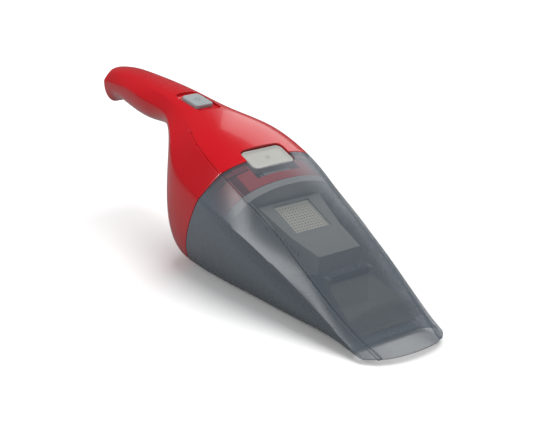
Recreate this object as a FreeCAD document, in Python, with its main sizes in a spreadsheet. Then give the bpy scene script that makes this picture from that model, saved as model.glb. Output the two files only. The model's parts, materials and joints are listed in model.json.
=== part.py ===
import FreeCAD, Part
import math
import os
import Sketcher

# Handheld vacuum, in millimetres.
# +X points to the nozzle, +Y to the object's left and +Z up. The belly rests on Z = 0 and the
# origin is under the middle of the overall box.
#
# The outer skin is one long hull. Each station below is a flat section that leans in the XZ
# plane from a point on the belly line (low) to a point on the crown line (top). Across the
# section lie the crown, a crease (crease_y, crease_drop under the top), a hollow side facet
# down to the flank (flank_y, flank_drop), the rounded belly, and a flat of half width flat_y.
# The belly line dips a little under Z = 0, where the skin is cut off to a true resting face.

Vector = FreeCAD.Vector
Y_AXIS = Vector(0, 1, 0)
Z_AXIS = Vector(0, 0, 1)

STATION_FIELDS = [
    "top_x", "top_z", "low_x", "low_z", "crease_y",
    "crease_drop", "flank_y", "flank_drop", "flat_y", "bulge",
]
STATIONS = {
    "end":      (-198.5, 125.0, -196.5, 94.0, 9.0, 2.5, 16.0, 9.5, 5.0, 1.0),
    "hook":     (-184.5, 127.0, -184.5, 101.0, 12.0, 3.0, 17.5, 10.5, 5.0, 1.0),
    "grip":     (-161.5, 128.0, -165.0, 99.5, 12.5, 3.0, 19.5, 9.5, 4.0, 0.5),
    "palm":     (-121.5, 127.0, -122.5, 95.0, 14.0, 3.0, 21.5, 11.0, 4.0, 0.5),
    "neck":     (-86.5, 124.5, -85.0, 93.5, 16.0, 3.5, 23.0, 13.0, 5.0, 1.0),
    "swell":    (-52.0, 120.0, -66.5, 62.5, 24.0, 6.0, 37.0, 18.0, 8.0, 2.0),
    "body":     (-15.0, 113.5, -60.5, 12.0, 37.0, 8.0, 51.0, 32.5, 16.0, 3.0),
    "seam":     (26.0, 101.0, -31.5, -0.3, 41.5, 9.5, 54.5, 34.0, 24.0, 3.0),
    "shoulder": (73.0, 79.5, 52.0, -0.3, 37.5, 9.5, 52.0, 24.5, 24.0, 1.0),
    "waist":    (124.5, 50.0, 112.5, 0.7, 36.5, 8.0, 44.5, 19.0, 24.0, 0.5),
    "throat":   (166.0, 24.5, 144.5, 2.3, 33.5, 7.0, 40.5, 14.0, 24.0, 0.0),
    "mouth":    (198.5, 5.5, 168.0, 2.0, 29.0, 7.0, 38.0, 17.0, 24.0, 0.0),
}
STATION_NAMES = list(STATIONS)
SEAM_PLACE = STATION_NAMES.index("seam")
MOUTH_PLACE = STATION_NAMES.index("mouth")

SIZES = {
    # Walls and gaps.
    "housing_wall": 2.5,
    "bowl_wall": 2.0,
    "flange_inset": 3.3,
    "flange_wall": 2.2,
    "seal_inset": 2.3,
    "filter_inset": 2.8,
    # Fan and motor, measured along the air axis behind the seam.
    "shroud_front": -6.0,
    "shroud_depth": 18.0,
    "shroud_radius": 35.0,
    "shroud_wall": 2.0,
    "intake_radius": 15.0,
    "impeller_radius": 30.5,
    "impeller_depth": 11.0,
    "impeller_back": -20.5,
    "hub_radius": 5.0,
    "blade_thick": 1.2,
    "mount_thick": 2.5,
    "can_radius": 14.0,
    "can_length": 34.0,
    "can_wall": 1.0,
    "cap_thick": 2.5,
    "shaft_radius": 1.15,
    "shaft_length": 56.0,
    "bush_radius": 3.4,
    "bush_length": 3.0,
    "armature_radius": 9.5,
    "armature_length": 20.0,
    "magnet_gap": 0.6,
    # Battery.
    "cell_radius": 9.15,
    "cell_length": 65.0,
    "saddle_radius": 10.35,
    # Slide switch on the crown of the neck.
    "switch_place": 4.52,
    "switch_long": 24.0,
    "switch_wide": 16.8,
    "switch_high": 3.2,
    "switch_low": -2.5,
    "switch_travel": 6.0,
    "recess_long": 40.0,
    "recess_wide": 22.0,
    "recess_deep": 2.8,
    "bed_thick": 1.6,
    "stem_long": 8.0,
    "stem_wide": 5.4,
    "carriage_thick": 1.2,
    # Release button over the seam.
    "button_place": 6.97,
    "button_long": 23.2,
    "button_wide": 38.4,
    "button_high": 4.6,
    "button_low": -6.2,
    "button_corner": 5.0,
    "button_rim": 2.0,
    "button_gap": 0.5,
    "button_travel": 2.5,
    "well_deep": 15.0,
    "spring_radius": 3.2,
    "spring_wire": 0.3,
    "spring_turns": 2.25,
    # Filter and its cup.
    "skirt_place": 7.45,
    "frame_place": 7.47,
    "cup_place": 7.60,
    "cup_wall": 1.6,
    "pleat_count": 9,
    # Inlet duct and flap.
    "duct_rear_x": 123.0,
    "duct_front_x": 160.0,
    "duct_wall": 1.6,
    "flap_thick": 1.2,
    "flap_half": 18.5,
    "pin_radius": 1.0,
    "pin_z": 35.0,
    # Fasteners.
    "screw_radius": 1.5,
    "screw_head": 2.8,
    "boss_radius": 3.6,
}

DOC = FreeCAD.newDocument("HandheldVacuum")
SHEET = DOC.addObject("Spreadsheet::Sheet", "Sizes")


def fill_sheet():
    """Write every driving size into the sheet, one aliased cell each."""
    cells = dict(SIZES)
    for station, values in STATIONS.items():
        for field, number in zip(STATION_FIELDS, values):
            cells[f"{station}_{field}"] = number
    for row, (alias, number) in enumerate(cells.items(), start=1):
        SHEET.set(f"A{row}", alias)
        SHEET.set(f"B{row}", str(number))
        SHEET.setAlias(f"B{row}", alias)
    DOC.recompute()


fill_sheet()
size = {alias: float(SHEET.get(alias)) for alias in SIZES}
ROWS = [
    [float(SHEET.get(f"{station}_{field}")) for field in STATION_FIELDS]
    for station in STATION_NAMES
]


def value(expression):
    """The number that a sheet expression gives."""
    return float(SHEET.evalExpression(expression))


# ---------------------------------------------------------------- hull

def spline_bends(knots, heights):
    """Second derivatives of the natural cubic spline through the points."""
    count = len(knots)
    above = [0.0] * count
    right = [0.0] * count
    for i in range(1, count - 1):
        before = knots[i] - knots[i - 1]
        after = knots[i + 1] - knots[i]
        slope_change = (heights[i + 1] - heights[i]) / after - (heights[i] - heights[i - 1]) / before
        pivot = 2 * (before + after) - before * above[i - 1]
        above[i] = after / pivot
        right[i] = (6 * slope_change - before * right[i - 1]) / pivot
    bends = [0.0] * count
    for i in range(count - 2, 0, -1):
        bends[i] = right[i] - above[i] * bends[i + 1]
    return bends


def station_knots():
    """Distance along the hull of each station's middle."""
    knots = [0.0]
    for row, following in zip(ROWS, ROWS[1:]):
        step_x = (following[0] + following[2] - row[0] - row[2]) / 2
        step_z = (following[1] + following[3] - row[1] - row[3]) / 2
        knots.append(knots[-1] + math.hypot(step_x, step_z))
    return knots


KNOTS = station_knots()
COLUMNS = list(zip(*ROWS))
BENDS = [spline_bends(KNOTS, column) for column in COLUMNS]


def spline_value(column, bends, place):
    """Spline value at a place counted in stations. It runs on straight past both ends."""
    span = min(max(int(math.floor(place)), 0), len(KNOTS) - 2)
    width = KNOTS[span + 1] - KNOTS[span]
    inside = min(max(place - span, 0.0), 1.0)
    a = 1 - inside
    b = inside
    curve = a * column[span] + b * column[span + 1]
    curve += ((a ** 3 - a) * bends[span] + (b ** 3 - b) * bends[span + 1]) * width ** 2 / 6
    slope = column[span + 1] - column[span]
    slope += ((1 - 3 * a * a) * bends[span] + (3 * b * b - 1) * bends[span + 1]) * width ** 2 / 6
    return curve + slope * (place - span - inside)


def hull_row(place):
    """The ten section values at any place along the hull."""
    return [spline_value(column, bends, place) for column, bends in zip(COLUMNS, BENDS)]


def line_slope(place, first):
    """Unit direction of the crown line (first = 0) or the belly line (first = 2)."""
    step = 0.01
    ahead = hull_row(place + step)
    behind = hull_row(place - step)
    return Vector(ahead[first] - behind[first], 0, ahead[first + 1] - behind[first + 1]).normalize()


def section_ends(place, inset):
    """Top and low points of a section, moved inwards across the wall by inset."""
    row = hull_row(place)
    crown = line_slope(place, 0)
    belly = line_slope(place, 2)
    top = Vector(row[0], 0, row[1]) + Vector(crown.z, 0, -crown.x) * inset
    low = Vector(row[2], 0, row[3]) + Vector(-belly.z, 0, belly.x) * inset
    return top, low


def section_wire(place, inset=0.0):
    """Closed section of the hull, as seven Bezier edges."""
    row = hull_row(place)
    top, low = section_ends(place, inset)
    height = (top - low).Length
    rise = (top - low) / height
    crease_y = row[4] - 0.7 * inset
    crease_h = height - row[5]
    flank_y = row[6] - inset
    flank_h = height - row[7]
    flat_y = max(row[8] - 0.4 * inset, 2.0)
    bulge = row[9]
    facet_y = (crease_y + flank_y) / 2 + 0.6
    facet_h = (crease_h + flank_h) / 2 + 0.6
    crown = [
        (0, height), (0.5 * crease_y, height),
        (0.82 * crease_y, height - 0.45 * row[5]), (crease_y, crease_h),
    ]
    facet = [(crease_y, crease_h), (facet_y, facet_h), (flank_y, flank_h)]
    belly = [
        (flank_y, flank_h), (flank_y + bulge, 0.45 * flank_h),
        (flat_y + 0.62 * (flank_y - flat_y), 0), (flat_y, 0),
    ]
    curves = [crown, facet, belly, [(flat_y, 0), (-flat_y, 0)]]
    curves += [[(-y, h) for y, h in reversed(curve)] for curve in (belly, facet, crown)]
    edges = []
    for curve in curves:
        bezier = Part.BezierCurve()
        bezier.setPoles([low + rise * h + Y_AXIS * y for y, h in curve])
        edges.append(bezier.toShape())
    return Part.Wire(edges)


def places_between(start, finish, step=0.5):
    """Start and finish, with the whole and half stations between them."""
    inner = [i * step for i in range(int(start / step) - 1, int(finish / step) + 2)]
    return [start] + [p for p in inner if start + 0.12 < p < finish - 0.12] + [finish]


def hull_solid(start, finish, inset=0.0):
    """Solid of the hull between two places."""
    wires = [section_wire(place, inset) for place in places_between(start, finish)]
    return Part.makeLoft(wires, True, False)


def skin_solid(start, finish):
    """Outer solid of the hull with its belly cut flat at Z = 0."""
    over_floor = Part.makeBox(500.0, 200.0, 200.0, Vector(-250.0, -100.0, 0.0))
    return hull_solid(start, finish).common(over_floor)


def hull_ring(start, finish, outer_inset, inner_inset):
    """Band of the hull between two insets, open at both ends."""
    bore = hull_solid(start - 0.06, finish + 0.06, inner_inset)
    return hull_solid(start, finish, outer_inset).cut(bore)


def crown_splitter(start, finish):
    """Solid over the crease line: everything in it belongs to the top shell."""
    reach = 70.0
    wires = []
    for place in places_between(start, finish):
        row = hull_row(place)
        top, low = section_ends(place, 0.0)
        rise = (top - low).normalize()
        crease = top - rise * row[5]
        over = top + rise * 25.0
        corners = [crease - Y_AXIS * reach, crease + Y_AXIS * reach,
                   over + Y_AXIS * reach, over - Y_AXIS * reach]
        wires.append(Part.makePolygon(corners + corners[:1]))
    return Part.makeLoft(wires, True, False)


def crown_placement(place):
    """Frame on the crown line: X along it, Z out of the skin."""
    row = hull_row(place)
    slope = line_slope(place, 0)
    pitch = math.degrees(math.atan2(-slope.z, slope.x))
    return FreeCAD.Placement(Vector(row[0], 0, row[1]), FreeCAD.Rotation(Y_AXIS, pitch))


SEAM_TOP, SEAM_LOW = section_ends(SEAM_PLACE, 0.0)
SEAM_RISE = (SEAM_TOP - SEAM_LOW).normalize()
AIR_AXIS = Vector(SEAM_RISE.z, 0, -SEAM_RISE.x)
SEAM_MIDDLE = (SEAM_TOP + SEAM_LOW) / 2
AIR_PLACEMENT = FreeCAD.Placement(SEAM_MIDDLE, FreeCAD.Rotation(Z_AXIS, AIR_AXIS))
SWITCH_PLACEMENT = crown_placement(size["switch_place"])
BUTTON_PLACEMENT = crown_placement(size["button_place"])


# ---------------------------------------------------------------- building blocks

def placed(shape, placement):
    """The shape moved from a local frame into the object's frame."""
    shape.Placement = placement.multiply(shape.Placement)
    return shape


def centred_box(x_size, y_size, z_low, z_high, x_middle=0.0, y_middle=0.0):
    """Box centred on X and Y, between two heights."""
    corner = Vector(x_middle - x_size / 2, y_middle - y_size / 2, z_low)
    return Part.makeBox(x_size, y_size, z_high - z_low, corner)


def rounded_column(x_size, y_size, z_low, z_high, corner):
    """Upright column of rounded rectangular section, centred on Z."""
    box = centred_box(x_size, y_size, z_low, z_high)
    upright = [edge for edge in box.Edges if abs(edge.tangentAt(edge.FirstParameter).z) > 0.9]
    return box.makeFillet(corner, upright)


def feature(label, shape, placement=None):
    """Sub-part whose shape comes from Part's own functions."""
    solid = DOC.addObject("Part::Feature", label)
    solid.Label = label
    solid.Shape = shape
    if placement is not None:
        solid.Placement = placement.multiply(solid.Placement)
    return solid


def new_body(label, placement=None):
    """Empty PartDesign body in its own frame."""
    body = DOC.addObject("PartDesign::Body", label)
    body.Label = label
    if placement is not None:
        body.Placement = placement
    return body


def flat_sketch(body, name, lift, shift_x="0", shift_y="0"):
    """Sketch on the body's XY plane, lifted and shifted by sheet expressions."""
    plane = next(item for item in body.Origin.OriginFeatures if item.Role == "XY_Plane")
    sketch = body.newObject("Sketcher::SketchObject", name)
    sketch.AttachmentSupport = [(plane, "")]
    sketch.MapMode = "FlatFace"
    sketch.setExpression("AttachmentOffset.Base.x", shift_x)
    sketch.setExpression("AttachmentOffset.Base.y", shift_y)
    sketch.setExpression("AttachmentOffset.Base.z", lift)
    return sketch


def extrude(body, name, sketch, depth, cut):
    """Pad the sketch upwards, or pocket it downwards."""
    kind = "PartDesign::Pocket" if cut else "PartDesign::Pad"
    result = body.newObject(kind, name)
    result.Profile = sketch
    result.setExpression("Length", depth)
    sketch.Visibility = False
    return result


def turned(body, name, radii, low, depth, cut=False):
    """Concentric circles from height low, depth deep."""
    lift = f"({low}) + ({depth})" if cut else low
    sketch = flat_sketch(body, name + "_outline", lift)
    for index, radius in enumerate(radii):
        sketch.addGeometry(Part.Circle(Vector(0, 0, 0), Z_AXIS, value(radius)))
        sketch.addConstraint(Sketcher.Constraint("Coincident", index, 3, -1, 1))
        number = sketch.addConstraint(Sketcher.Constraint("Radius", index, value(radius)))
        sketch.setExpression(f"Constraints[{number}]", radius)
    return extrude(body, name, sketch, depth, cut)


def block(body, name, x_size, y_size, low, depth, shift_x="0", shift_y="0", cut=False):
    """Rectangle centred on its shift, from height low, depth deep."""
    lift = f"({low}) + ({depth})" if cut else low
    sketch = flat_sketch(body, name + "_outline", lift, shift_x, shift_y)
    half_x = value(x_size) / 2
    half_y = value(y_size) / 2
    corners = [Vector(-half_x, -half_y, 0), Vector(half_x, -half_y, 0),
               Vector(half_x, half_y, 0), Vector(-half_x, half_y, 0)]
    for index in range(4):
        sketch.addGeometry(Part.LineSegment(corners[index], corners[(index + 1) % 4]))
    for index in range(4):
        sketch.addConstraint(Sketcher.Constraint("Coincident", index, 2, (index + 1) % 4, 1))
    for index, direction in enumerate(["Horizontal", "Vertical", "Horizontal", "Vertical"]):
        sketch.addConstraint(Sketcher.Constraint(direction, index))
    sketch.addConstraint(Sketcher.Constraint("Symmetric", 0, 1, 2, 1, -1, 1))
    across = sketch.addConstraint(Sketcher.Constraint("DistanceX", 0, 1, 0, 2, 2 * half_x))
    along = sketch.addConstraint(Sketcher.Constraint("DistanceY", 1, 1, 1, 2, 2 * half_y))
    sketch.setExpression(f"Constraints[{across}]", x_size)
    sketch.setExpression(f"Constraints[{along}]", y_size)
    return extrude(body, name, sketch, depth, cut)


def fillet(body, name, base, wanted, radius):
    """Round the edges of base that wanted() picks."""
    DOC.recompute()
    picked = [f"Edge{i}" for i, edge in enumerate(base.Shape.Edges, start=1) if wanted(edge)]
    rounding = body.newObject("PartDesign::Fillet", name)
    rounding.Base = (base, picked)
    rounding.setExpression("Radius", radius)
    return rounding


def polar(body, name, original, count):
    """Repeat a feature round the body's Z axis."""
    axis = next(item for item in body.Origin.OriginFeatures if item.Role == "Z_Axis")
    pattern = body.newObject("PartDesign::PolarPattern", name)
    pattern.Originals = [original]
    pattern.Axis = (axis, [""])
    pattern.Angle = 360.0
    pattern.Occurrences = count
    body.Tip = pattern
    return pattern


def is_upright(edge):
    """True for a straight edge along the body's Z."""
    return edge.Curve.TypeId == "Part::GeomLine" and abs(edge.tangentAt(edge.FirstParameter).z) > 0.99


def at_height(level):
    """Test for an edge that lies flat at a level."""
    return lambda edge: all(abs(vertex.Z - level) < 0.01 for vertex in edge.Vertexes)


# ---------------------------------------------------------------- housing

SCREW_SPOTS = [(-181.3, 0.0), (-48.0, 18.7), (-48.0, -18.7)]
SCREW_SEATS = [104.6, 86.0, 86.0]
SCREW_LENGTH = 14.0


def switch_cutters():
    """Recess, bed and slot of the slide switch, in the object's frame."""
    recess = rounded_column(size["recess_long"], size["recess_wide"], -size["recess_deep"], 8.0, 5.0)
    recess.translate(Vector(-2.0, 0, 0))
    bed_low = -size["recess_deep"] - size["bed_thick"]
    bed = centred_box(size["recess_long"] + 4, size["recess_wide"] + 4, bed_low, -1.0, x_middle=-2.0)
    slot_long = size["stem_long"] + size["switch_travel"] + 0.8
    slot_middle = size["switch_travel"] / 2 - 3.0
    slot = centred_box(slot_long, size["stem_wide"] + 0.6, bed_low - 1, 2.0, x_middle=slot_middle)
    return [placed(shape, SWITCH_PLACEMENT) for shape in (recess, bed, slot)]


def button_column(grow):
    """Upright column of the release button, grown on every side."""
    column = rounded_column(size["button_long"] + 2 * grow, size["button_wide"] + 2 * grow,
                            -size["well_deep"], 8.0, size["button_corner"] + grow)
    return placed(column, BUTTON_PLACEMENT)


def screw_boss(x, y, low, high, radius):
    """Upright round column between two heights."""
    return Part.makeCylinder(radius, high - low, Vector(x, y, low))


def make_housings():
    """Top and lower shells, split along the crease."""
    wall = size["housing_wall"]
    outer = skin_solid(0.0, SEAM_PLACE)
    inner = hull_solid(0.18, SEAM_PLACE + 0.2, wall)
    shell = outer.cut(inner)
    splitter = crown_splitter(-0.3, SEAM_PLACE + 0.3)
    top_shell = shell.common(splitter)
    lower_shell = shell.cut(splitter)
    recess, bed, slot = switch_cutters()
    top_shell = top_shell.fuse(bed.common(hull_solid(3.0, 6.0, 1.0)))
    top_bosses = []
    lower_bosses = []
    holes = []
    for (x, y), seat in zip(SCREW_SPOTS, SCREW_SEATS):
        split = seat + SCREW_LENGTH - 7.0
        radius = size["boss_radius"]
        top_bosses.append(screw_boss(x, y, split + 0.2, 128.0, radius - 1.0))
        lower_bosses.append(screw_boss(x, y, 0.0, split, radius + 0.6))
        head_hole = screw_boss(x, y, -1.0, seat, size["screw_head"] + 0.35)
        shank_hole = screw_boss(x, y, seat - 1, split + 1, size["screw_radius"] + 0.2)
        pilot_hole = screw_boss(x, y, split - 1, seat + SCREW_LENGTH + 1, size["screw_radius"] + 0.05)
        holes += [head_hole, shank_hole, pilot_hole]
    room = hull_solid(0.1, SEAM_PLACE, 1.2)
    top_bosses = [boss.common(room) for boss in top_bosses]
    top_shell = top_shell.fuse(top_bosses)
    lower_shell = lower_shell.fuse([boss.common(room) for boss in lower_bosses])
    top_shell = top_shell.cut([recess, slot, button_column(size["button_gap"])] + holes)
    top_shell = top_shell.cut(well_room())
    lower_shell = lower_shell.cut(holes + exhaust_slots() + [charge_hole(), bed] + top_bosses)
    feature("top_housing", top_shell)
    feature("lower_housing", lower_shell)


def well_room():
    """Room in the top shell for the well behind the seam."""
    return placed(centred_box(36.0, 44.0, -19.0, -size["housing_wall"] - 0.2), BUTTON_PLACEMENT)


def exhaust_slots():
    """Level air slots through the rear wall under the handle."""
    levels = [26.0, 33.0, 40.0, 47.0, 54.0]
    return [centred_box(30.0, 36.0, z, z + 3.0, x_middle=-66.0) for z in levels]


SOCKET_Z = 111.0
SOCKET_RADIUS = 4.2
LIGHT_Y = 8.2


def charge_hole():
    """Round hole for the charging socket, and a small one for its light, in the end wall."""
    hole = Part.makeCylinder(SOCKET_RADIUS + 0.1, 14.0, Vector(-201.0, 0, SOCKET_Z), Vector(1, 0, 0))
    light = Part.makeCylinder(1.3, 14.0, Vector(-201.0, LIGHT_Y, SOCKET_Z), Vector(1, 0, 0))
    return hole.fuse(light)


def make_intake_flange():
    """Bulkhead across the seam with a skirt that reaches into the bowl, and the button's well."""
    skirt = hull_solid(SEAM_PLACE - 0.08, size["skirt_place"], size["flange_inset"])
    hollow = hull_solid(SEAM_PLACE, size["skirt_place"] + 0.1, size["flange_inset"] + size["flange_wall"])
    room = hull_solid(SEAM_PLACE - 0.5, size["skirt_place"] - 0.02, size["flange_inset"] + 0.6)
    deep = size["well_deep"]
    well = placed(centred_box(35.4, 43.6, -deep - 2.0, 0.0, x_middle=1.5), BUTTON_PLACEMENT)
    cavity = placed(centred_box(32.0, 40.2, -deep, 8.0, x_middle=1.5), BUTTON_PLACEMENT)
    hole = Part.makeCylinder(size["intake_radius"] - 1, 16, SEAM_MIDDLE - AIR_AXIS * 8, AIR_AXIS)
    bars = [centred_box(2.0, 30.0, -3.0, -1.0), centred_box(30.0, 2.0, -3.0, -1.0)]
    flange = skirt.cut(hollow).fuse(well.common(room)).cut([cavity, hole])
    flange = flange.fuse([placed(bar, AIR_PLACEMENT) for bar in bars])
    feature("intake_flange", flange)
    seal = hull_ring(SEAM_PLACE + 0.03, SEAM_PLACE + 0.09, size["seal_inset"], size["flange_inset"])
    notch = placed(centred_box(35.8, 44.0, -deep, 8.0, x_middle=1.5), BUTTON_PLACEMENT)
    feature("bowl_seal", seal.cut(notch))


def make_housing_screws():
    """Three long screws that hold the shells together."""
    screws = []
    for (x, y), seat in zip(SCREW_SPOTS, SCREW_SEATS):
        head = Part.makeCylinder(size["screw_head"], 2.0, Vector(x, y, seat - 2.0))
        shank = Part.makeCylinder(size["screw_radius"], SCREW_LENGTH, Vector(x, y, seat))
        cross = [centred_box(3.2, 0.7, seat - 2.1, seat - 1.2, x, y),
                 centred_box(0.7, 3.2, seat - 2.1, seat - 1.2, x, y)]
        screws.append(head.fuse(shank).cut(cross))
    feature("housing_screws", Part.makeCompound(screws))


# ---------------------------------------------------------------- fan and motor

def make_fan_shroud():
    """Cup round the impeller with an inlet in front and outlets in its side."""
    body = new_body("fan_shroud", AIR_PLACEMENT)
    low = "Sizes.shroud_front - Sizes.shroud_depth + Sizes.shroud_wall"
    turned(body, "cup", ["Sizes.shroud_radius"], low, "Sizes.shroud_depth")
    turned(body, "hollow", ["Sizes.shroud_radius - Sizes.shroud_wall"], low,
           "Sizes.shroud_depth - Sizes.shroud_wall", cut=True)
    turned(body, "inlet", ["Sizes.intake_radius"], "Sizes.shroud_front - 1", "6", cut=True)
    outlet = block(body, "outlet", "8", "9", f"{low} + 3", "9", shift_x="Sizes.shroud_radius", cut=True)
    polar(body, "outlets", outlet, 9)


def make_motor_mount():
    """Disc that carries the motor and closes the back of the fan."""
    body = new_body("motor_mount", AIR_PLACEMENT)
    low = "Sizes.shroud_front - Sizes.shroud_depth + Sizes.shroud_wall - Sizes.mount_thick"
    turned(body, "disc", ["Sizes.shroud_radius", "Sizes.bush_radius + 0.8"], low, "Sizes.mount_thick")
    screw_hole = block(body, "screw_slot", "2.8", "2.8", low, "Sizes.mount_thick", shift_x="8.5", cut=True)
    polar(body, "screw_slots", screw_hole, 2)


def motor_level(extra=0.0):
    """Height of the motor's front face on the air axis."""
    return size["shroud_front"] - size["shroud_depth"] + size["shroud_wall"] - size["mount_thick"] + extra


def make_motor():
    """Can, end cap, magnets, bushes and fixing screws."""
    can = new_body("motor_can", AIR_PLACEMENT)
    front = "Sizes.shroud_front - Sizes.shroud_depth + Sizes.shroud_wall - Sizes.mount_thick"
    back = f"{front} - Sizes.can_length"
    turned(can, "drum", ["Sizes.can_radius"], back, "Sizes.can_length")
    turned(can, "hollow", ["Sizes.can_radius - Sizes.can_wall"], back,
           "Sizes.can_length - Sizes.can_wall", cut=True)
    turned(can, "nose_hole", ["Sizes.bush_radius + 0.02"], f"{front} - 3", "4", cut=True)
    screw_hole = block(can, "screw_hole", "2.2", "2.2", f"{front} - 3", "4", shift_x="8.5", cut=True)
    polar(can, "screw_holes", screw_hole, 2)
    cap = new_body("motor_end_cap", AIR_PLACEMENT)
    turned(cap, "plate", ["Sizes.can_radius - 0.3", "Sizes.bush_radius + 0.02"],
           f"{back} - Sizes.cap_thick", "Sizes.cap_thick")
    block(cap, "tab", "3.2", "1", f"{back} - Sizes.cap_thick - 4", "5", shift_y="8.5")
    block(cap, "other_tab", "3.2", "1", f"{back} - Sizes.cap_thick - 4", "5", shift_y="-8.5")
    outer = size["can_radius"] - size["can_wall"] - 0.02
    inner = size["armature_radius"] + size["magnet_gap"]
    ring = Part.makeCylinder(outer, 24.0).cut(Part.makeCylinder(inner, 24.0))
    gap = centred_box(40.0, 9.0, 0.0, 24.0)
    magnets = ring.cut(gap)
    magnets.translate(Z_AXIS * (motor_level() - 30.0))
    feature("motor_magnets", magnets, AIR_PLACEMENT)
    bushes = []
    for low in (motor_level() - 1.0, motor_level() - size["can_length"] - size["cap_thick"]):
        bush = Part.makeCylinder(size["bush_radius"], size["bush_length"] - 0.5, Vector(0, 0, low))
        bore = Part.makeCylinder(size["shaft_radius"] + 0.03, 8.0, Vector(0, 0, low - 2))
        bushes.append(bush.cut(bore))
    feature("motor_bushes", Part.makeCompound(bushes), AIR_PLACEMENT)
    screws = []
    top = motor_level() + size["mount_thick"]
    for x in (-8.5, 8.5):
        head = Part.makeCylinder(2.1, 1.0, Vector(x, 0, top))
        shank = Part.makeCylinder(1.0, 3.3, Vector(x, 0, top - 3.3))
        screws.append(head.fuse(shank))
    feature("motor_screws", Part.makeCompound(screws), AIR_PLACEMENT)


def make_rotor():
    """Shaft, armature and the impeller with its curved blades."""
    shaft = new_body("motor_shaft", AIR_PLACEMENT)
    turned(shaft, "rod", ["Sizes.shaft_radius"], "Sizes.impeller_back + Sizes.impeller_depth - Sizes.shaft_length",
           "Sizes.shaft_length")
    armature = new_body("armature", AIR_PLACEMENT)
    low = "Sizes.shroud_front - Sizes.shroud_depth - Sizes.mount_thick - 24"
    turned(armature, "core", ["Sizes.armature_radius", "Sizes.shaft_radius"], low, "Sizes.armature_length")
    slot = block(armature, "slot", "6", "1.6", low, "Sizes.armature_length", shift_x="8", cut=True)
    polar(armature, "slots", slot, 5)
    back = size["impeller_back"]
    depth = size["impeller_depth"]
    radius = size["impeller_radius"]
    disc = Part.makeCylinder(radius, 1.4, Vector(0, 0, back))
    hub = Part.makeCylinder(size["hub_radius"], depth, Vector(0, 0, back))
    ring = Part.makeCylinder(radius, 1.0, Vector(0, 0, back + depth - 1.0))
    ring = ring.cut(Part.makeCylinder(radius - 12.0, 3.0, Vector(0, 0, back + depth - 2.0)))
    blades = []
    count = 9
    for index in range(count):
        start = Vector(hub_edge(), 0, back + 0.7)
        middle = Vector(0.62 * radius, 5.2, back + 0.7)
        finish = Vector(0.93 * radius, 1.0, back + 0.7)
        path = Part.Arc(start, middle, finish).toShape()
        blade = Part.Wire([path]).makeOffset2D(size["blade_thick"] / 2, 0, False, False)
        solid = Part.Face(blade).extrude(Z_AXIS * (depth - 1.2))
        solid.rotate(Vector(0, 0, 0), Z_AXIS, 360.0 * index / count)
        blades.append(solid)
    bore = Part.makeCylinder(size["shaft_radius"], 40.0, Vector(0, 0, back - 10))
    feature("impeller", disc.fuse([hub, ring] + blades).cut(bore), AIR_PLACEMENT)


def hub_edge():
    """Radius where a blade leaves the hub."""
    return size["hub_radius"] - 0.8


# ---------------------------------------------------------------- battery and electrics

# Rear end of each cell (x, z) and how far its front end drops, in degrees.
CELL_SPOTS = [(-176.6, 114.4, 0.0), (-109.7, 109.3, 4.8)]


def make_battery():
    """Two round cells in line in the handle, their saddles and the link between them."""
    radius = size["cell_radius"]
    cells = []
    saddles = []
    room = hull_solid(0.3, SEAM_PLACE - 0.5, size["housing_wall"] + 0.1)
    for x, z, drop in CELL_SPOTS:
        axis = Vector(math.cos(math.radians(drop)), 0, -math.sin(math.radians(drop)))
        start = Vector(x, 0, z)
        can = Part.makeCylinder(radius, size["cell_length"] - 1.2, start, axis)
        button = Part.makeCylinder(3.0, 1.2, start + axis * (size["cell_length"] - 1.2), axis)
        cells.append(can.fuse(button))
        bore = Part.makeCylinder(radius + 0.05, size["cell_length"] + 4.0, start - axis * 2.0, axis)
        for offset in (8.0, 50.0):
            cradle = Part.makeBox(5.0, 22.0, radius + 6, Vector(x + offset, -11.0, z - radius - 8))
            saddles.append(cradle.common(room).cut(bore))
    saddles = [saddle for saddle in saddles if saddle.Volume > 20.0]
    feature("battery_cells", Part.makeCompound(cells))
    feature("battery_saddles", Part.makeCompound([solid for s in saddles for solid in s.Solids]))
    first_end = CELL_SPOTS[0][0] + size["cell_length"]
    link = Part.makeBox(0.4, 6.0, 14.0, Vector(first_end + 0.6, -3.0, 103.0))
    feature("cell_link", link)


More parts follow.
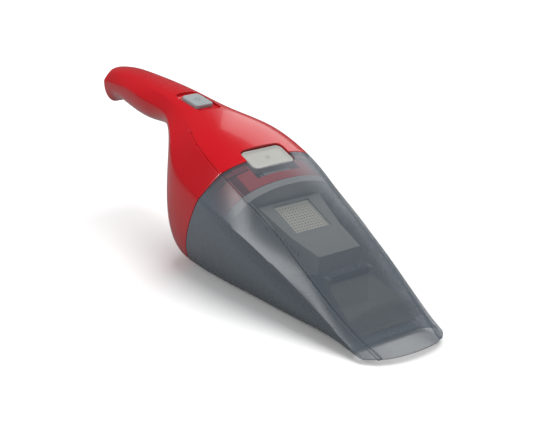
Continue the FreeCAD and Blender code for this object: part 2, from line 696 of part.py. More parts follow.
def make_electrics():
    """Control board and its parts, micro switch, charging socket and light."""
    board = new_body("control_board", FreeCAD.Placement(Vector(-41.5, 0, 7.0), FreeCAD.Rotation()))
    block(board, "plate", "17", "28", "0", "1.6")
    parts = [
        centred_box(6.0, 7.0, 8.6, 10.4, -42.0, -4.0), centred_box(4.0, 4.0, 8.6, 10.2, -42.0, 4.0),
        Part.makeCylinder(2.6, 9.0, Vector(-41.0, 10.0, 8.6)), centred_box(9.0, 3.4, 8.6, 13.0, -42.0, -11.4),
    ]
    feature("board_parts", Part.makeCompound(parts))
    switch = new_body("micro_switch", FreeCAD.Placement(Vector(-30.0, 0, 101.0), FreeCAD.Rotation()))
    block(switch, "case", "19.8", "6.4", "0", "10.2")
    block(switch, "plunger", "1.8", "2.6", "10.2", "1.4", shift_x="-5")
    block(switch, "leg", "0.6", "3", "-3.6", "3.6", shift_x="-8")
    block(switch, "middle_leg", "0.6", "3", "-3.6", "3.6")
    block(switch, "front_leg", "0.6", "3", "-3.6", "3.6", shift_x="8")
    x_axis = Vector(1, 0, 0)
    start = Vector(-198.0, 0, SOCKET_Z)
    barrel = Part.makeCylinder(SOCKET_RADIUS, 12.0, start, x_axis)
    bore = Part.makeCylinder(2.75, 10.0, start - x_axis, x_axis)
    room = hull_solid(0.0, 2.0, 0.3)
    feature("charge_socket", barrel.common(room).cut(bore))
    pin = Part.makeCylinder(0.65, 6.5, start + x_axis * 2.5, x_axis)
    feature("socket_pin", pin)
    light = Part.makeCylinder(1.2, 6.0, Vector(-198.5, LIGHT_Y, SOCKET_Z), x_axis)
    feature("charge_light", light.common(room))


def make_motor_leads():
    """Two short wires from the board to the motor's tabs."""
    radius = 0.8
    wires = []
    for side in (-1, 1):
        route = [Vector(-48.5, 8.0 * side, 9.4), Vector(-58.0, 9.8 * side, 52.0),
                 Vector(-63.4, 9.9 * side, 73.0), Vector(-60.3, 9.9 * side, 82.8)]
        runs = []
        for start, finish in zip(route, route[1:]):
            runs.append(Part.makeCylinder(radius, (finish - start).Length, start, finish - start))
        knees = [Part.makeSphere(radius, corner) for corner in route[1:-1]]
        wires.append(runs[0].fuse(runs[1:] + knees))
    feature("motor_leads", Part.makeCompound(wires))


# ---------------------------------------------------------------- controls

def make_power_switch():
    """Sliding cap over the recess, and the carriage that rides under the bed."""
    cap = new_body("power_switch", SWITCH_PLACEMENT)
    plate = block(cap, "plate", "Sizes.switch_long", "Sizes.switch_wide", "Sizes.switch_low",
                  "Sizes.switch_high", shift_x="-3")
    corners = fillet(cap, "corners", plate, is_upright, "3.5")
    fillet(cap, "rounding", corners, at_height(size["switch_low"] + size["switch_high"]), "1.2")
    block(cap, "stem", "Sizes.stem_long", "Sizes.stem_wide",
          "Sizes.switch_low - Sizes.bed_thick - 0.6", "Sizes.bed_thick + 1", shift_x="-3")
    carriage = new_body("switch_carriage", SWITCH_PLACEMENT)
    low = "Sizes.switch_low - Sizes.bed_thick - 0.6 - Sizes.carriage_thick"
    block(carriage, "plate", "14", "13", low, "Sizes.carriage_thick", shift_x="-3")
    block(carriage, "arm", "22", "4", low, "Sizes.carriage_thick", shift_x="12")


def make_release_button():
    """Pressed cap with a raised rim, its latch plate and its spring."""
    cap = new_body("release_button", BUTTON_PLACEMENT)
    plate = block(cap, "plate", "Sizes.button_long", "Sizes.button_wide", "Sizes.button_low", "Sizes.button_high")
    corners = fillet(cap, "corners", plate, is_upright, "Sizes.button_corner")
    fillet(cap, "rounding", corners, at_height(size["button_low"] + size["button_high"]), "0.9")
    block(cap, "dish", "Sizes.button_long - 2*Sizes.button_rim - 1.6",
          "Sizes.button_wide - 2*Sizes.button_rim - 1.6", "Sizes.button_low + Sizes.button_high - 0.5", "1", cut=True)
    block(cap, "stem", "9", "14", "Sizes.button_low - 2.2", "2.4")
    latch = new_body("latch_plate", BUTTON_PLACEMENT)
    block(latch, "plate", "23", "28", "Sizes.button_low - 3.8", "1.6", shift_x="5")
    block(latch, "step", "5", "24", "Sizes.button_low - 2.4", "1.6", shift_x="13.5")
    top = size["button_low"] - 3.8
    bottom = -size["well_deep"]
    spring_height = top - bottom - 0.1
    turns = size["spring_turns"]
    helix = Part.makeHelix((spring_height - 2 * size["spring_wire"]) / turns,
                           spring_height - 2 * size["spring_wire"], size["spring_radius"])
    profile = Part.Wire([Part.makeCircle(size["spring_wire"], Vector(size["spring_radius"], 0, 0), Y_AXIS)])
    coil = Part.Wire(helix.Edges).makePipeShell([profile], True, True)
    coil.translate(Vector(0, 0, bottom + size["spring_wire"] + 0.05))
    feature("release_spring", coil, BUTTON_PLACEMENT)


# ---------------------------------------------------------------- bowl, duct and flap

def make_dust_bowl():
    """Clear bowl and nozzle, open at the seam and at the mouth, notched for the button."""
    outer = skin_solid(SEAM_PLACE + 0.006, MOUTH_PLACE)
    inner = hull_solid(SEAM_PLACE - 0.15, MOUTH_PLACE + 0.3, size["bowl_wall"])
    bowl = outer.cut(inner).cut(button_column(size["button_gap"] + 0.1))
    feature("dust_bowl", bowl)


def tapered_tube(rear, front, inset):
    """Four-sided tube between two upright rectangles (x, half width, low, high)."""
    wires = []
    for x, half, low, high in (rear, front):
        corners = [Vector(x, -half + inset, low + inset), Vector(x, half - inset, low + inset),
                   Vector(x, half - inset, high - inset), Vector(x, -half + inset, high - inset)]
        wires.append(Part.makePolygon(corners + corners[:1]))
    return Part.makeLoft(wires, True, True)


DUCT_REAR = (20.0, 8.5, 32.5)
DUCT_FRONT = (29.0, 5.3, 17.0)


def make_inlet_duct():
    """Flared duct from the nozzle to the flap, with a flange that fills the bowl's throat."""
    rear_x = size["duct_rear_x"]
    front_x = size["duct_front_x"]
    rear = (rear_x,) + DUCT_REAR
    front = (front_x,) + DUCT_FRONT
    wall = size["duct_wall"]
    tube = tapered_tube(rear, front, 0.0)
    slab = Part.makeBox(1.6, 90.0, 60.0, Vector(front_x - 1.6, -45.0, 0.0))
    flange = slab.common(hull_solid(SEAM_PLACE + 2, MOUTH_PLACE, size["bowl_wall"] + 0.3))
    ears = []
    for side in (-1, 1):
        ear = Part.makeBox(7.0, 2.0, 7.0, Vector(rear_x - 3.6, 19.6 * side - 1.0, size["pin_z"] - 4.0))
        ears.append(ear)
    bore_start = (rear_x - 1.0, -0.5)
    stretch = 3.0
    longer_rear = (rear_x - stretch,) + tuple(
        a + (a - b) * stretch / (front_x - rear_x) for a, b in zip(DUCT_REAR, DUCT_FRONT))
    longer_front = (front_x + stretch,) + tuple(
        b + (b - a) * stretch / (front_x - rear_x) for a, b in zip(DUCT_REAR, DUCT_FRONT))
    bore = tapered_tube(longer_rear, longer_front, wall)
    pin_hole = Part.makeCylinder(size["pin_radius"], 60.0, Vector(bore_start[0], -30.0, size["pin_z"]), Y_AXIS)
    feature("inlet_duct", tube.fuse([flange] + ears).cut([bore, pin_hole]))
    pin = Part.makeCylinder(size["pin_radius"], 41.0, Vector(bore_start[0], -20.5, size["pin_z"]), Y_AXIS)
    feature("flap_pin", pin)
    half = size["flap_half"]
    thick = size["flap_thick"]
    leaf = Part.makeBox(thick, 2 * half, size["pin_z"] - 9.5, Vector(bore_start[0] - thick / 2, -half, 9.5))
    barrel = Part.makeCylinder(size["pin_radius"] + 1.0, 2 * (half - 0.4),
                               Vector(bore_start[0], -half + 0.4, size["pin_z"]), Y_AXIS)
    clear = Part.makeCylinder(size["pin_radius"] + 0.05, 60.0, Vector(bore_start[0], -30.0, size["pin_z"]), Y_AXIS)
    feature("inlet_flap", leaf.fuse(barrel).cut(clear))


# ---------------------------------------------------------------- filters

# Four corners of the prefilter cup in the XZ plane: rear low, rear high, front low, front high,
# and the half widths at its rear and its nose.
CUP_REAR_LOW = (23.0, 14.0)
CUP_REAR_HIGH = (46.5, 73.5)
CUP_BREAK_HIGH = (84.0, 57.5)
CUP_NOSE_HIGH = (112.0, 50.0)
CUP_NOSE_LOW = (110.0, 35.5)
CUP_REAR_HALF = 29.0
CUP_NOSE_HALF = 19.0


def cup_section(low, high, half, inset):
    """Leaning rectangle across the cup."""
    low_point = Vector(low[0], 0, low[1])
    high_point = Vector(high[0], 0, high[1])
    rise = (high_point - low_point).normalize()
    low_point = low_point + rise * inset
    high_point = high_point - rise * inset
    reach = Y_AXIS * (half - inset)
    corners = [low_point - reach, low_point + reach, high_point + reach, high_point - reach]
    return Part.makePolygon(corners + corners[:1])


def blend(first, second, share):
    """Point at a share of the way from one (x, z) pair to another, or past them."""
    return tuple(a + (b - a) * share for a, b in zip(first, second))


def cup_solid(inset, rear_share=0.0, nose_share=1.0, with_nose=True):
    """Tapered cup body, with its top in two slopes; the shares shorten or lengthen its ends."""
    share = (CUP_BREAK_HIGH[0] - CUP_REAR_HIGH[0]) / (CUP_NOSE_HIGH[0] - CUP_REAR_HIGH[0])
    break_low = blend(CUP_REAR_LOW, CUP_NOSE_LOW, share)
    break_half = CUP_REAR_HALF + (CUP_NOSE_HALF - CUP_REAR_HALF) * share
    rear_half = CUP_REAR_HALF + (break_half - CUP_REAR_HALF) * rear_share
    sections = [
        cup_section(blend(CUP_REAR_LOW, break_low, rear_share),
                    blend(CUP_REAR_HIGH, CUP_BREAK_HIGH, rear_share), rear_half, inset),
        cup_section(break_low, CUP_BREAK_HIGH, break_half, inset),
    ]
    if with_nose:
        sections.append(cup_section(blend(break_low, CUP_NOSE_LOW, nose_share),
                                    blend(CUP_BREAK_HIGH, CUP_NOSE_HIGH, nose_share),
                                    CUP_NOSE_HALF, inset))
    return Part.makeLoft(sections, True, True)


def make_filters():
    """Filter frame with its seal and pleats, and the prefilter cup with its screen."""
    frame = hull_solid(size["frame_place"], size["cup_place"], size["filter_inset"])
    window = cup_solid(5.0, rear_share=-1.0)
    feature("filter_frame", frame.cut(window))
    seal = hull_ring(size["skirt_place"] + 0.002, size["frame_place"] - 0.001, 3.6, 5.6)
    feature("filter_seal", seal)
    wall = size["cup_wall"]
    shell = cup_solid(0.0).cut(cup_solid(wall, rear_share=-0.1, nose_share=0.94))
    behind = hull_solid(SEAM_PLACE - 0.3, size["cup_place"] + 0.004, -12.0)
    shell = shell.cut(behind)
    window_box = screen_block(31.0, 33.0, -6.0, 6.0)
    cup = shell.cut([window_box] + side_slots())
    feature("prefilter_cup", cup)
    plate = screen_block(34.0, 36.0, -2.4, -1.7)
    holes = []
    columns = 12
    rows = 10
    pitch = 2.7
    for column in range(columns):
        for row in range(rows):
            spot = Vector((row - (rows - 1) / 2) * pitch, (column - (columns - 1) / 2) * pitch, -6.0)
            holes.append(Part.makeCylinder(0.65, 12.0, spot))
    grid = Part.makeCompound(holes)
    placed(grid, screen_placement())
    feature("prefilter_screen", plate.cut(grid))
    core = cup_solid(4.2, with_nose=False)
    core = core.cut(hull_solid(SEAM_PLACE - 0.3, size["cup_place"] + 0.004, -12.0))
    grooves = []
    count = int(size["pleat_count"])
    for index in range(count):
        y = (index - (count - 1) / 2) * 5.0
        grooves.append(Part.makeBox(120.0, 1.6, 70.0, Vector(0, y - 0.8, 26.0)))
    feature("filter_pleats", core.cut(grooves))


def screen_placement():
    """Frame in the middle of the cup's rear slope, Z out of the cup."""
    rear = Vector(CUP_REAR_HIGH[0], 0, CUP_REAR_HIGH[1])
    front = Vector(CUP_BREAK_HIGH[0], 0, CUP_BREAK_HIGH[1])
    pitch = math.degrees(math.atan2(rear.z - front.z, front.x - rear.x))
    middle = rear + (front - rear) * 0.56
    return FreeCAD.Placement(middle, FreeCAD.Rotation(Y_AXIS, pitch))


def screen_block(x_size, y_size, z_low, z_high):
    """Box in the screen's frame."""
    return placed(centred_box(x_size, y_size, z_low, z_high), screen_placement())


def side_slots():
    """Row of small slots in each side of the cup."""
    slots = []
    for index in range(10):
        x = 58.0 + index * 3.6
        z = 56.0 - index * 1.3
        slots.append(Part.makeBox(1.4, 80.0, 4.0, Vector(x, -40.0, z)))
    return slots


# ---------------------------------------------------------------- assembly and export

def check_document():
    """Stop if any object failed."""
    DOC.recompute()
    for item in DOC.Objects:
        faults = [state for state in item.State if state in ("Invalid", "Error")]
        if faults:
            raise RuntimeError(f"{item.Name} is {faults}")


def export_parts():
    """Write every sub-part's shape to its own file."""
    os.makedirs("parts", exist_ok=True)
    tips = [item for item in DOC.Objects if item.TypeId == "PartDesign::Body"]
    tips += [item for item in DOC.Objects if item.TypeId == "Part::Feature"]
    for item in tips:
        shape = item.Shape
        if shape.isNull() or not shape.isValid() or not shape.Solids:
            raise RuntimeError(f"{item.Label} has no valid solid")
    for item in tips:
        item.Shape.exportStep(f"parts/{item.Label}.step")
        print(f"{item.Label:18s} solids {len(item.Shape.Solids):2d}  volume {item.Shape.Volume:10.1f}")


make_housings()
make_intake_flange()
make_housing_screws()
make_fan_shroud()
make_motor_mount()
make_motor()
make_rotor()
make_battery()
make_electrics()
make_motor_leads()
make_power_switch()
make_release_button()
make_dust_bowl()
make_inlet_duct()
make_filters()
check_document()
export_parts()
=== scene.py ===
import json
import math

import bmesh
import bpy
import numpy as np
from mathutils import Matrix, Vector


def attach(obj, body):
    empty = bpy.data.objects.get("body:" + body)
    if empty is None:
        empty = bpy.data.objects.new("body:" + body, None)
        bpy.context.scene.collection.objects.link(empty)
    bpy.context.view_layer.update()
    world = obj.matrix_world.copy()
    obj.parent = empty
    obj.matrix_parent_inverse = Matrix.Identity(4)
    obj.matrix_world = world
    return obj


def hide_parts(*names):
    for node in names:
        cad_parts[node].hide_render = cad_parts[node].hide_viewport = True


bl_info = {
    "name": "Handheld Vacuum",
    "version": (1, 0, 0),
    "blender": (4, 5, 0),
    "location": "View3D > Sidebar > Hand Vacuum",
    "description": "Builds a cordless handheld vacuum round its CAD frame",
    "category": "Object",
}

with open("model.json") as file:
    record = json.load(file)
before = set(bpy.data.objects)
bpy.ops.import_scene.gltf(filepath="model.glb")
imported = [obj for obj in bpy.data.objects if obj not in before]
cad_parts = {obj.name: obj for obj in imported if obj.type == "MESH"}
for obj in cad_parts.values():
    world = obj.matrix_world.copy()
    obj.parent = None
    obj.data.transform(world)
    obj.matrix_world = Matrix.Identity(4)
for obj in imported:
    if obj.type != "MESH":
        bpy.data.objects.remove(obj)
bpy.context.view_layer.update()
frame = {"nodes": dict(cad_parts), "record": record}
MM = 0.001

# The skin is a hull of leaning sections, as in the CAD model. Each row holds, in millimetres,
# the crown point (x, z), the belly point (x, z), the crease (half width, drop under the crown),
# the flank (half width, drop), the half width of the flat belly and the bulge of the flank.
STATIONS = np.array([
    (-198.5, 125.0, -196.5, 94.0, 9.0, 2.5, 16.0, 9.5, 5.0, 1.0),
    (-184.5, 127.0, -184.5, 101.0, 12.0, 3.0, 17.5, 10.5, 5.0, 1.0),
    (-161.5, 128.0, -165.0, 99.5, 12.5, 3.0, 19.5, 9.5, 4.0, 0.5),
    (-121.5, 127.0, -122.5, 95.0, 14.0, 3.0, 21.5, 11.0, 4.0, 0.5),
    (-86.5, 124.5, -85.0, 93.5, 16.0, 3.5, 23.0, 13.0, 5.0, 1.0),
    (-52.0, 120.0, -66.5, 62.5, 24.0, 6.0, 37.0, 18.0, 8.0, 2.0),
    (-15.0, 113.5, -60.5, 12.0, 37.0, 8.0, 51.0, 32.5, 16.0, 3.0),
    (26.0, 101.0, -31.5, -0.3, 41.5, 9.5, 54.5, 34.0, 24.0, 3.0),
    (73.0, 79.5, 52.0, -0.3, 37.5, 9.5, 52.0, 24.5, 24.0, 1.0),
    (124.5, 50.0, 112.5, 0.7, 36.5, 8.0, 44.5, 19.0, 24.0, 0.5),
    (166.0, 24.5, 144.5, 2.3, 33.5, 7.0, 40.5, 14.0, 24.0, 0.0),
    (198.5, 5.5, 168.0, 2.0, 29.0, 7.0, 38.0, 17.0, 24.0, 0.0),
])
SEAM = 7.0
MOUTH = 11.0
SWITCH_PLACE = 4.52
BUTTON_PLACE = 6.97


# ---------------------------------------------------------------- hull surface

def station_knots():
    """Distance along the middles of the stations."""
    middles = (STATIONS[:, 0:2] + STATIONS[:, 2:4]) / 2
    steps = np.linalg.norm(np.diff(middles, axis=0), axis=1)
    return np.concatenate([[0.0], np.cumsum(steps)])


def natural_bends(knots, values):
    """Second derivatives of the natural cubic spline, from its three-term linear system."""
    count = len(knots)
    width = np.diff(knots)[:, None]
    system = np.zeros((count, count))
    right = np.zeros_like(values)
    inner = np.arange(1, count - 1)
    system[0, 0] = system[-1, -1] = 1.0
    system[inner, inner - 1] = width[:-1, 0]
    system[inner, inner] = 2 * (width[:-1, 0] + width[1:, 0])
    system[inner, inner + 1] = width[1:, 0]
    slopes = np.diff(values, axis=0) / width
    right[1:-1] = 6 * np.diff(slopes, axis=0)
    return np.linalg.solve(system, right)


KNOTS = station_knots()
BENDS = natural_bends(KNOTS, STATIONS)


def hull_rows(places):
    """Spline values at places counted in stations: cubic between stations, straight past the ends."""
    places = np.asarray(places, float)
    span = np.clip(np.floor(places).astype(int), 0, len(KNOTS) - 2)
    b = np.clip(places - span, 0.0, 1.0)[:, None]
    a = 1 - b
    width = (KNOTS[span + 1] - KNOTS[span])[:, None]
    first, last = STATIONS[span], STATIONS[span + 1]
    bend_a, bend_b = BENDS[span], BENDS[span + 1]
    curve = a * first + b * last + ((a ** 3 - a) * bend_a + (b ** 3 - b) * bend_b) * width ** 2 / 6
    slope = last - first + ((1 - 3 * a * a) * bend_a + (3 * b * b - 1) * bend_b) * width ** 2 / 6
    return curve + slope * (places[:, None] - span[:, None] - b)


def section_ends(places, inset=0.0):
    """Crown and belly points in XZ, moved inwards across the wall by inset millimetres."""
    places = np.asarray(places, float)
    inset = np.broadcast_to(inset, places.shape)[:, None]
    rows = hull_rows(places)
    change = hull_rows(places + 0.01) - hull_rows(places - 0.01)
    crown = change[:, 0:2] / np.linalg.norm(change[:, 0:2], axis=1, keepdims=True)
    belly = change[:, 2:4] / np.linalg.norm(change[:, 2:4], axis=1, keepdims=True)
    top = rows[:, 0:2] + inset * np.stack([crown[:, 1], -crown[:, 0]], 1)
    low = rows[:, 2:4] + inset * np.stack([-belly[:, 1], belly[:, 0]], 1)
    return rows, top, low


def bezier(controls, w):
    """Bezier curves of a (rows, points, 2) array at parameters w: sum of Bernstein weights times points."""
    order = controls.shape[1] - 1
    weights = np.stack([math.comb(order, i) * w ** i * (1 - w) ** (order - i) for i in range(order + 1)])
    return np.einsum("im,nik->nmk", weights, controls)


def hull_points(places, around, inset=0.0):
    """Points of the skin in metres. Around runs 0 to 1 over the crown, to 2 over the side facet,
    to 3 round the belly and to 4 at the belly's middle; its sign is the side of the object."""
    inset = np.broadcast_to(np.asarray(inset, float), np.shape(places))
    rows, top, low = section_ends(places, inset)
    around = np.asarray(around, float)
    height = np.linalg.norm(top - low, axis=1)
    crease_y = rows[:, 4] - 0.7 * inset
    crease_h = height - rows[:, 5]
    flank_y = rows[:, 6] - inset
    flank_h = height - rows[:, 7]
    flat_y = np.maximum(rows[:, 8] - 0.4 * inset, 2.0)
    zero = np.zeros_like(height)

    def curve(*pairs):
        return np.stack([np.stack(pair, 1) for pair in pairs], 1)

    pieces = [
        curve((zero, height), (0.5 * crease_y, height),
              (0.82 * crease_y, height - 0.45 * rows[:, 5]), (crease_y, crease_h)),
        curve((crease_y, crease_h), ((crease_y + flank_y) / 2 + 0.6, (crease_h + flank_h) / 2 + 0.6),
              (flank_y, flank_h)),
        curve((flank_y, flank_h), (flank_y + rows[:, 9], 0.45 * flank_h),
              (flat_y + 0.62 * (flank_y - flat_y), zero), (flat_y, zero)),
        curve((flat_y, zero), (zero, zero)),
    ]
    size = np.abs(around)
    yh = np.zeros((len(rows), len(around), 2))
    for index, controls in enumerate(pieces):
        upper = size <= index + 1 if index == 3 else size < index + 1
        chosen = (size >= index) & upper
        yh[:, chosen] = bezier(controls, size[chosen] - index)
    rise = (top - low) / height[:, None]
    xz = low[:, None, :] + yh[:, :, 1:2] * rise[:, None, :]
    y = yh[:, :, 0] * np.where(around < 0, -1.0, 1.0)
    points = np.stack([xz[:, :, 0], y, xz[:, :, 1]], 2)
    points[:, :, 2] = np.maximum(points[:, :, 2], np.minimum(inset, 3.0)[:, None])
    return points * MM


def crown_matrix(place):
    """Frame on the crown line: X along it towards the nozzle, Z out of the skin."""
    rows = hull_rows([place])
    change = hull_rows([place + 0.01]) - hull_rows([place - 0.01])
    pitch = math.atan2(-change[0, 1], change[0, 0])
    spot = Vector((rows[0, 0], 0.0, rows[0, 1])) * MM
    return Matrix.Translation(spot) @ Matrix.Rotation(pitch, 4, "Y")


# ---------------------------------------------------------------- mesh helpers

def grid_faces(rows, columns, wrap_rows=False, wrap_columns=False):
    """Index quads of a grid of points."""
    r = np.arange(rows if wrap_rows else rows - 1)
    c = np.arange(columns if wrap_columns else columns - 1)
    r, c = np.meshgrid(r, c, indexing="ij")
    r2, c2 = (r + 1) % rows, (c + 1) % columns
    quads = np.stack([r * columns + c, r * columns + c2, r2 * columns + c2, r2 * columns + c], -1)
    return quads.reshape(-1, 4)


class Patchwork:
    """Collects grids and loose faces for one mesh."""

    def __init__(self):
        self.points = []
        self.faces = []
        self.count = 0

    def add(self, points, faces):
        """Points (n, 3) with faces that count from zero."""
        points = np.asarray(points, float).reshape(-1, 3)
        self.faces += [tuple(int(i) + self.count for i in face) for face in faces]
        self.points.append(points)
        self.count += len(points)
        return self

    def grid(self, points, wrap_rows=False, wrap_columns=False, flip=False):
        """A (rows, columns, 3) grid of points."""
        quads = grid_faces(points.shape[0], points.shape[1], wrap_rows, wrap_columns)
        return self.add(points, quads[:, ::-1] if flip else quads)

    def stack(self, loops):
        """Closed loops joined one over the other, with both ends closed by a fan."""
        loops = np.asarray(loops)
        levels, around = loops.shape[:2]
        quads = grid_faces(levels, around, wrap_columns=True)
        ends = np.stack([loops[0].mean(0), loops[-1].mean(0)])
        ring = np.arange(around)
        following = (ring + 1) % around
        base = levels * around
        last = (levels - 1) * around
        low = np.stack([following, ring, np.full(around, base)], 1)
        high = np.stack([last + ring, last + following, np.full(around, base + 1)], 1)
        faces = list(quads) + list(low) + list(high)
        return self.add(np.concatenate([loops.reshape(-1, 3), ends]), faces)

    def mesh(self, name, matrix=None):
        """The finished mesh data, placed by the matrix."""
        data = bpy.data.meshes.new(name)
        data.from_pydata(np.concatenate(self.points).tolist(), [], self.faces)
        if matrix is not None:
            data.transform(matrix)
        data.update()
        return data


def new_object(name, data):
    """Object at the origin with this mesh, in the scene."""
    piece = bpy.data.objects.new(name, data)
    bpy.context.scene.collection.objects.link(piece)
    return piece


def merge_close(data, distance=1e-6):
    """Merge doubled points and dissolve edges and faces that have shrunk to nothing."""
    work = bmesh.new()
    work.from_mesh(data)
    bmesh.ops.remove_doubles(work, verts=work.verts, dist=distance)
    bmesh.ops.dissolve_degenerate(work, edges=work.edges, dist=1e-7)
    work.to_mesh(data)
    work.free()


def settle(piece, crease_angle=32.0):
    """Apply all modifiers, shade smooth and keep edges over the angle sharp."""
    bpy.context.view_layer.update()
    graph = bpy.context.evaluated_depsgraph_get()
    baked = bpy.data.meshes.new_from_object(piece.evaluated_get(graph))
    piece.modifiers.clear()
    piece.data = baked
    baked.shade_smooth()
    baked.set_sharp_from_angle(angle=math.radians(crease_angle))
    return piece


def thicken(piece, wall):
    """Wall grown inwards from the skin."""
    solid = piece.modifiers.new("wall", "SOLIDIFY")
    solid.thickness = wall
    solid.offset = -1.0
    solid.use_even_offset = True
    solid.thickness_clamp = 0.0
    return solid


def cut(piece, cutter):
    """Take the cutter's shape out of the piece."""
    boolean = piece.modifiers.new("cut", "BOOLEAN")
    boolean.operation = "DIFFERENCE"
    boolean.solver = "EXACT"
    boolean.object = cutter
    return boolean


def soften(piece, width, segments=2, angle=35.0):
    """Small round on edges sharper than the angle."""
    bevel = piece.modifiers.new("round", "BEVEL")
    bevel.width = width
    bevel.segments = segments
    bevel.limit_method = "ANGLE"
    bevel.angle_limit = math.radians(angle)
    bevel.use_clamp_overlap = True
    return bevel


def finish_piece(piece, body, material, replaces=()):
    """Give the piece its material and slot, and let it ride on its body."""
    piece.data.materials.clear()
    piece.data.materials.append(material)
    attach(piece, body)
    if replaces:
        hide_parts(*replaces)
    return piece


def rounded_loop(half_x, half_y, corner, per_corner=8):
    """Rounded rectangle about the origin as (n, 2): four quarter arcs joined by straight sides."""
    corner = min(corner, half_x - 1e-6, half_y - 1e-6)
    turn = np.linspace(0.0, np.pi / 2, per_corner)
    loops = []
    for quarter, (sx, sy) in enumerate([(1, 1), (-1, 1), (-1, -1), (1, -1)]):
        angle = turn + quarter * np.pi / 2
        centre = np.array([sx * (half_x - corner), sy * (half_y - corner)])
        loops.append(centre + corner * np.stack([np.cos(angle), np.sin(angle)], 1))
    return np.concatenate(loops)


def rounded_stack(levels, per_corner=8, crown=0.0):
    """Loops for Patchwork.stack from (half x, half y, corner, height) levels in millimetres. The sides
    drop by crown times y squared, to follow the skin; a level's own fifth value goes before crown."""
    loops = []
    for half_x, half_y, corner, height, *own in levels:
        flat = rounded_loop(half_x, half_y, corner, per_corner)
        z = height - (own[0] if own else crown) * flat[:, 1] ** 2
        loops.append(np.column_stack([flat, z]))
    return np.stack(loops) * MM


def fillet_levels(half_x, half_y, corner, low, high, radius, steps=4):
    """Levels of a rounded block: straight side, then a quarter round onto the top."""
    turn = np.linspace(0.0, np.pi / 2, steps + 1)
    levels = [(half_x, half_y, corner, low)]
    for t in turn:
        back = radius * (1 - math.cos(t))
        levels.append((half_x - back, half_y - back, max(corner - back, 0.3),
                       high - radius * (1 - math.sin(t))))
    return levels


def tube_along(route, radius, around=12, wrap=False):
    """Grid of a round tube along a route (n, 3): circles square to the route's direction."""
    route = np.asarray(route, float)
    if wrap:
        along = np.roll(route, -1, 0) - np.roll(route, 1, 0)
    else:
        along = np.gradient(route, axis=0)
    along /= np.linalg.norm(along, axis=1, keepdims=True)
    hint = np.where(np.abs(along[:, 1:2]) < 0.9, [[0.0, 1.0, 0.0]], [[1.0, 0.0, 0.0]])
    side = np.cross(along, hint)
    side /= np.linalg.norm(side, axis=1, keepdims=True)
    other = np.cross(along, side)
    turn = np.linspace(0, 2 * np.pi, around, endpoint=False)
    ring = np.cos(turn)[None, :, None] * side[:, None, :] + np.sin(turn)[None, :, None] * other[:, None, :]
    return route[:, None, :] + radius * ring


def face_out(data):
    """Turn an open strip of skin so that its faces look away from its middle."""
    centres = np.empty(len(data.polygons) * 3)
    normals = np.empty(len(data.polygons) * 3)
    data.polygons.foreach_get("center", centres)
    data.polygons.foreach_get("normal", normals)
    centres = centres.reshape(-1, 3)
    normals = normals.reshape(-1, 3)
    keel = np.array([0.0, 1.0, 1.0])
    spine = np.column_stack([centres[:, 0], np.zeros(len(centres)), np.zeros(len(centres))])
    order = np.argsort(centres[:, 0])
    spine[:, 2] = np.interp(centres[:, 0], centres[order, 0],
                            np.convolve(centres[order, 2], np.ones(31) / 31, "same"))
    if ((centres - spine) * normals * keel).sum() < 0:
        data.flip_normals()
    data.update()


REAR_ROUND = 2.6
STATION_LONG = 14.1


def rear_rows():
    """Places and insets that roll the skin over onto the end of the handle: a quarter circle."""
    turn = np.linspace(np.pi / 2, 0.0, 7)[:-1]
    places = REAR_ROUND * (1 - np.sin(turn)) / STATION_LONG
    insets = REAR_ROUND * (1 - np.cos(turn))
    return places, insets


def dip(around, width):
    """Weight that is 1 on the crease and falls away as a bell curve on both sides."""
    return np.exp(-((np.abs(around) - 1.0) / width) ** 2)


def shell_grid(around, gap_rows=150, groove=0.0):
    """Rows of a housing skin: closed end, rolled edge, then the hull up to the seam. A groove along
    the crease fades in from the swell to the seam."""
    rear_places, rear_insets = rear_rows()
    main = np.linspace(REAR_ROUND / STATION_LONG, SEAM - 0.006, gap_rows)
    places = np.concatenate([rear_places, main])
    insets = np.concatenate([rear_insets, np.zeros(gap_rows)])
    skin = hull_points(places, around, insets)
    if groove:
        ramp = np.clip((places - 5.2) / 0.4, 0.0, 1.0)
        weight = (ramp * ramp * (3 - 2 * ramp))[:, None] * dip(around, 0.018)[None]
        sunk = hull_points(places, around, insets + groove)
        skin = skin + weight[:, :, None] * (sunk - skin)
    first = skin[0]
    middle = (first[0] + first[-1]) / 2
    shrink = np.linspace(0.0, 0.92, 5)[:, None, None]
    end = middle + shrink * (first - middle)[None]
    return np.concatenate([end, skin[1:]])


# ---------------------------------------------------------------- housing pieces

SWITCH = crown_matrix(SWITCH_PLACE)
BUTTON = crown_matrix(BUTTON_PLACE)
BACK_2 = Matrix.Translation((-0.002, 0.0, 0.0))


def column_cutter(half_x, half_y, corner, low, high, matrix, name="cutter"):
    """Rounded column that is cut out of a shell and then removed."""
    sheet = Patchwork().stack(rounded_stack([(half_x, half_y, corner, low), (half_x, half_y, corner, high)]))
    return new_object(name, sheet.mesh(name, matrix))


def remove(pieces):
    """Delete cutters once they are applied."""
    for piece in pieces:
        data = piece.data
        bpy.data.objects.remove(piece)
        bpy.data.meshes.remove(data)


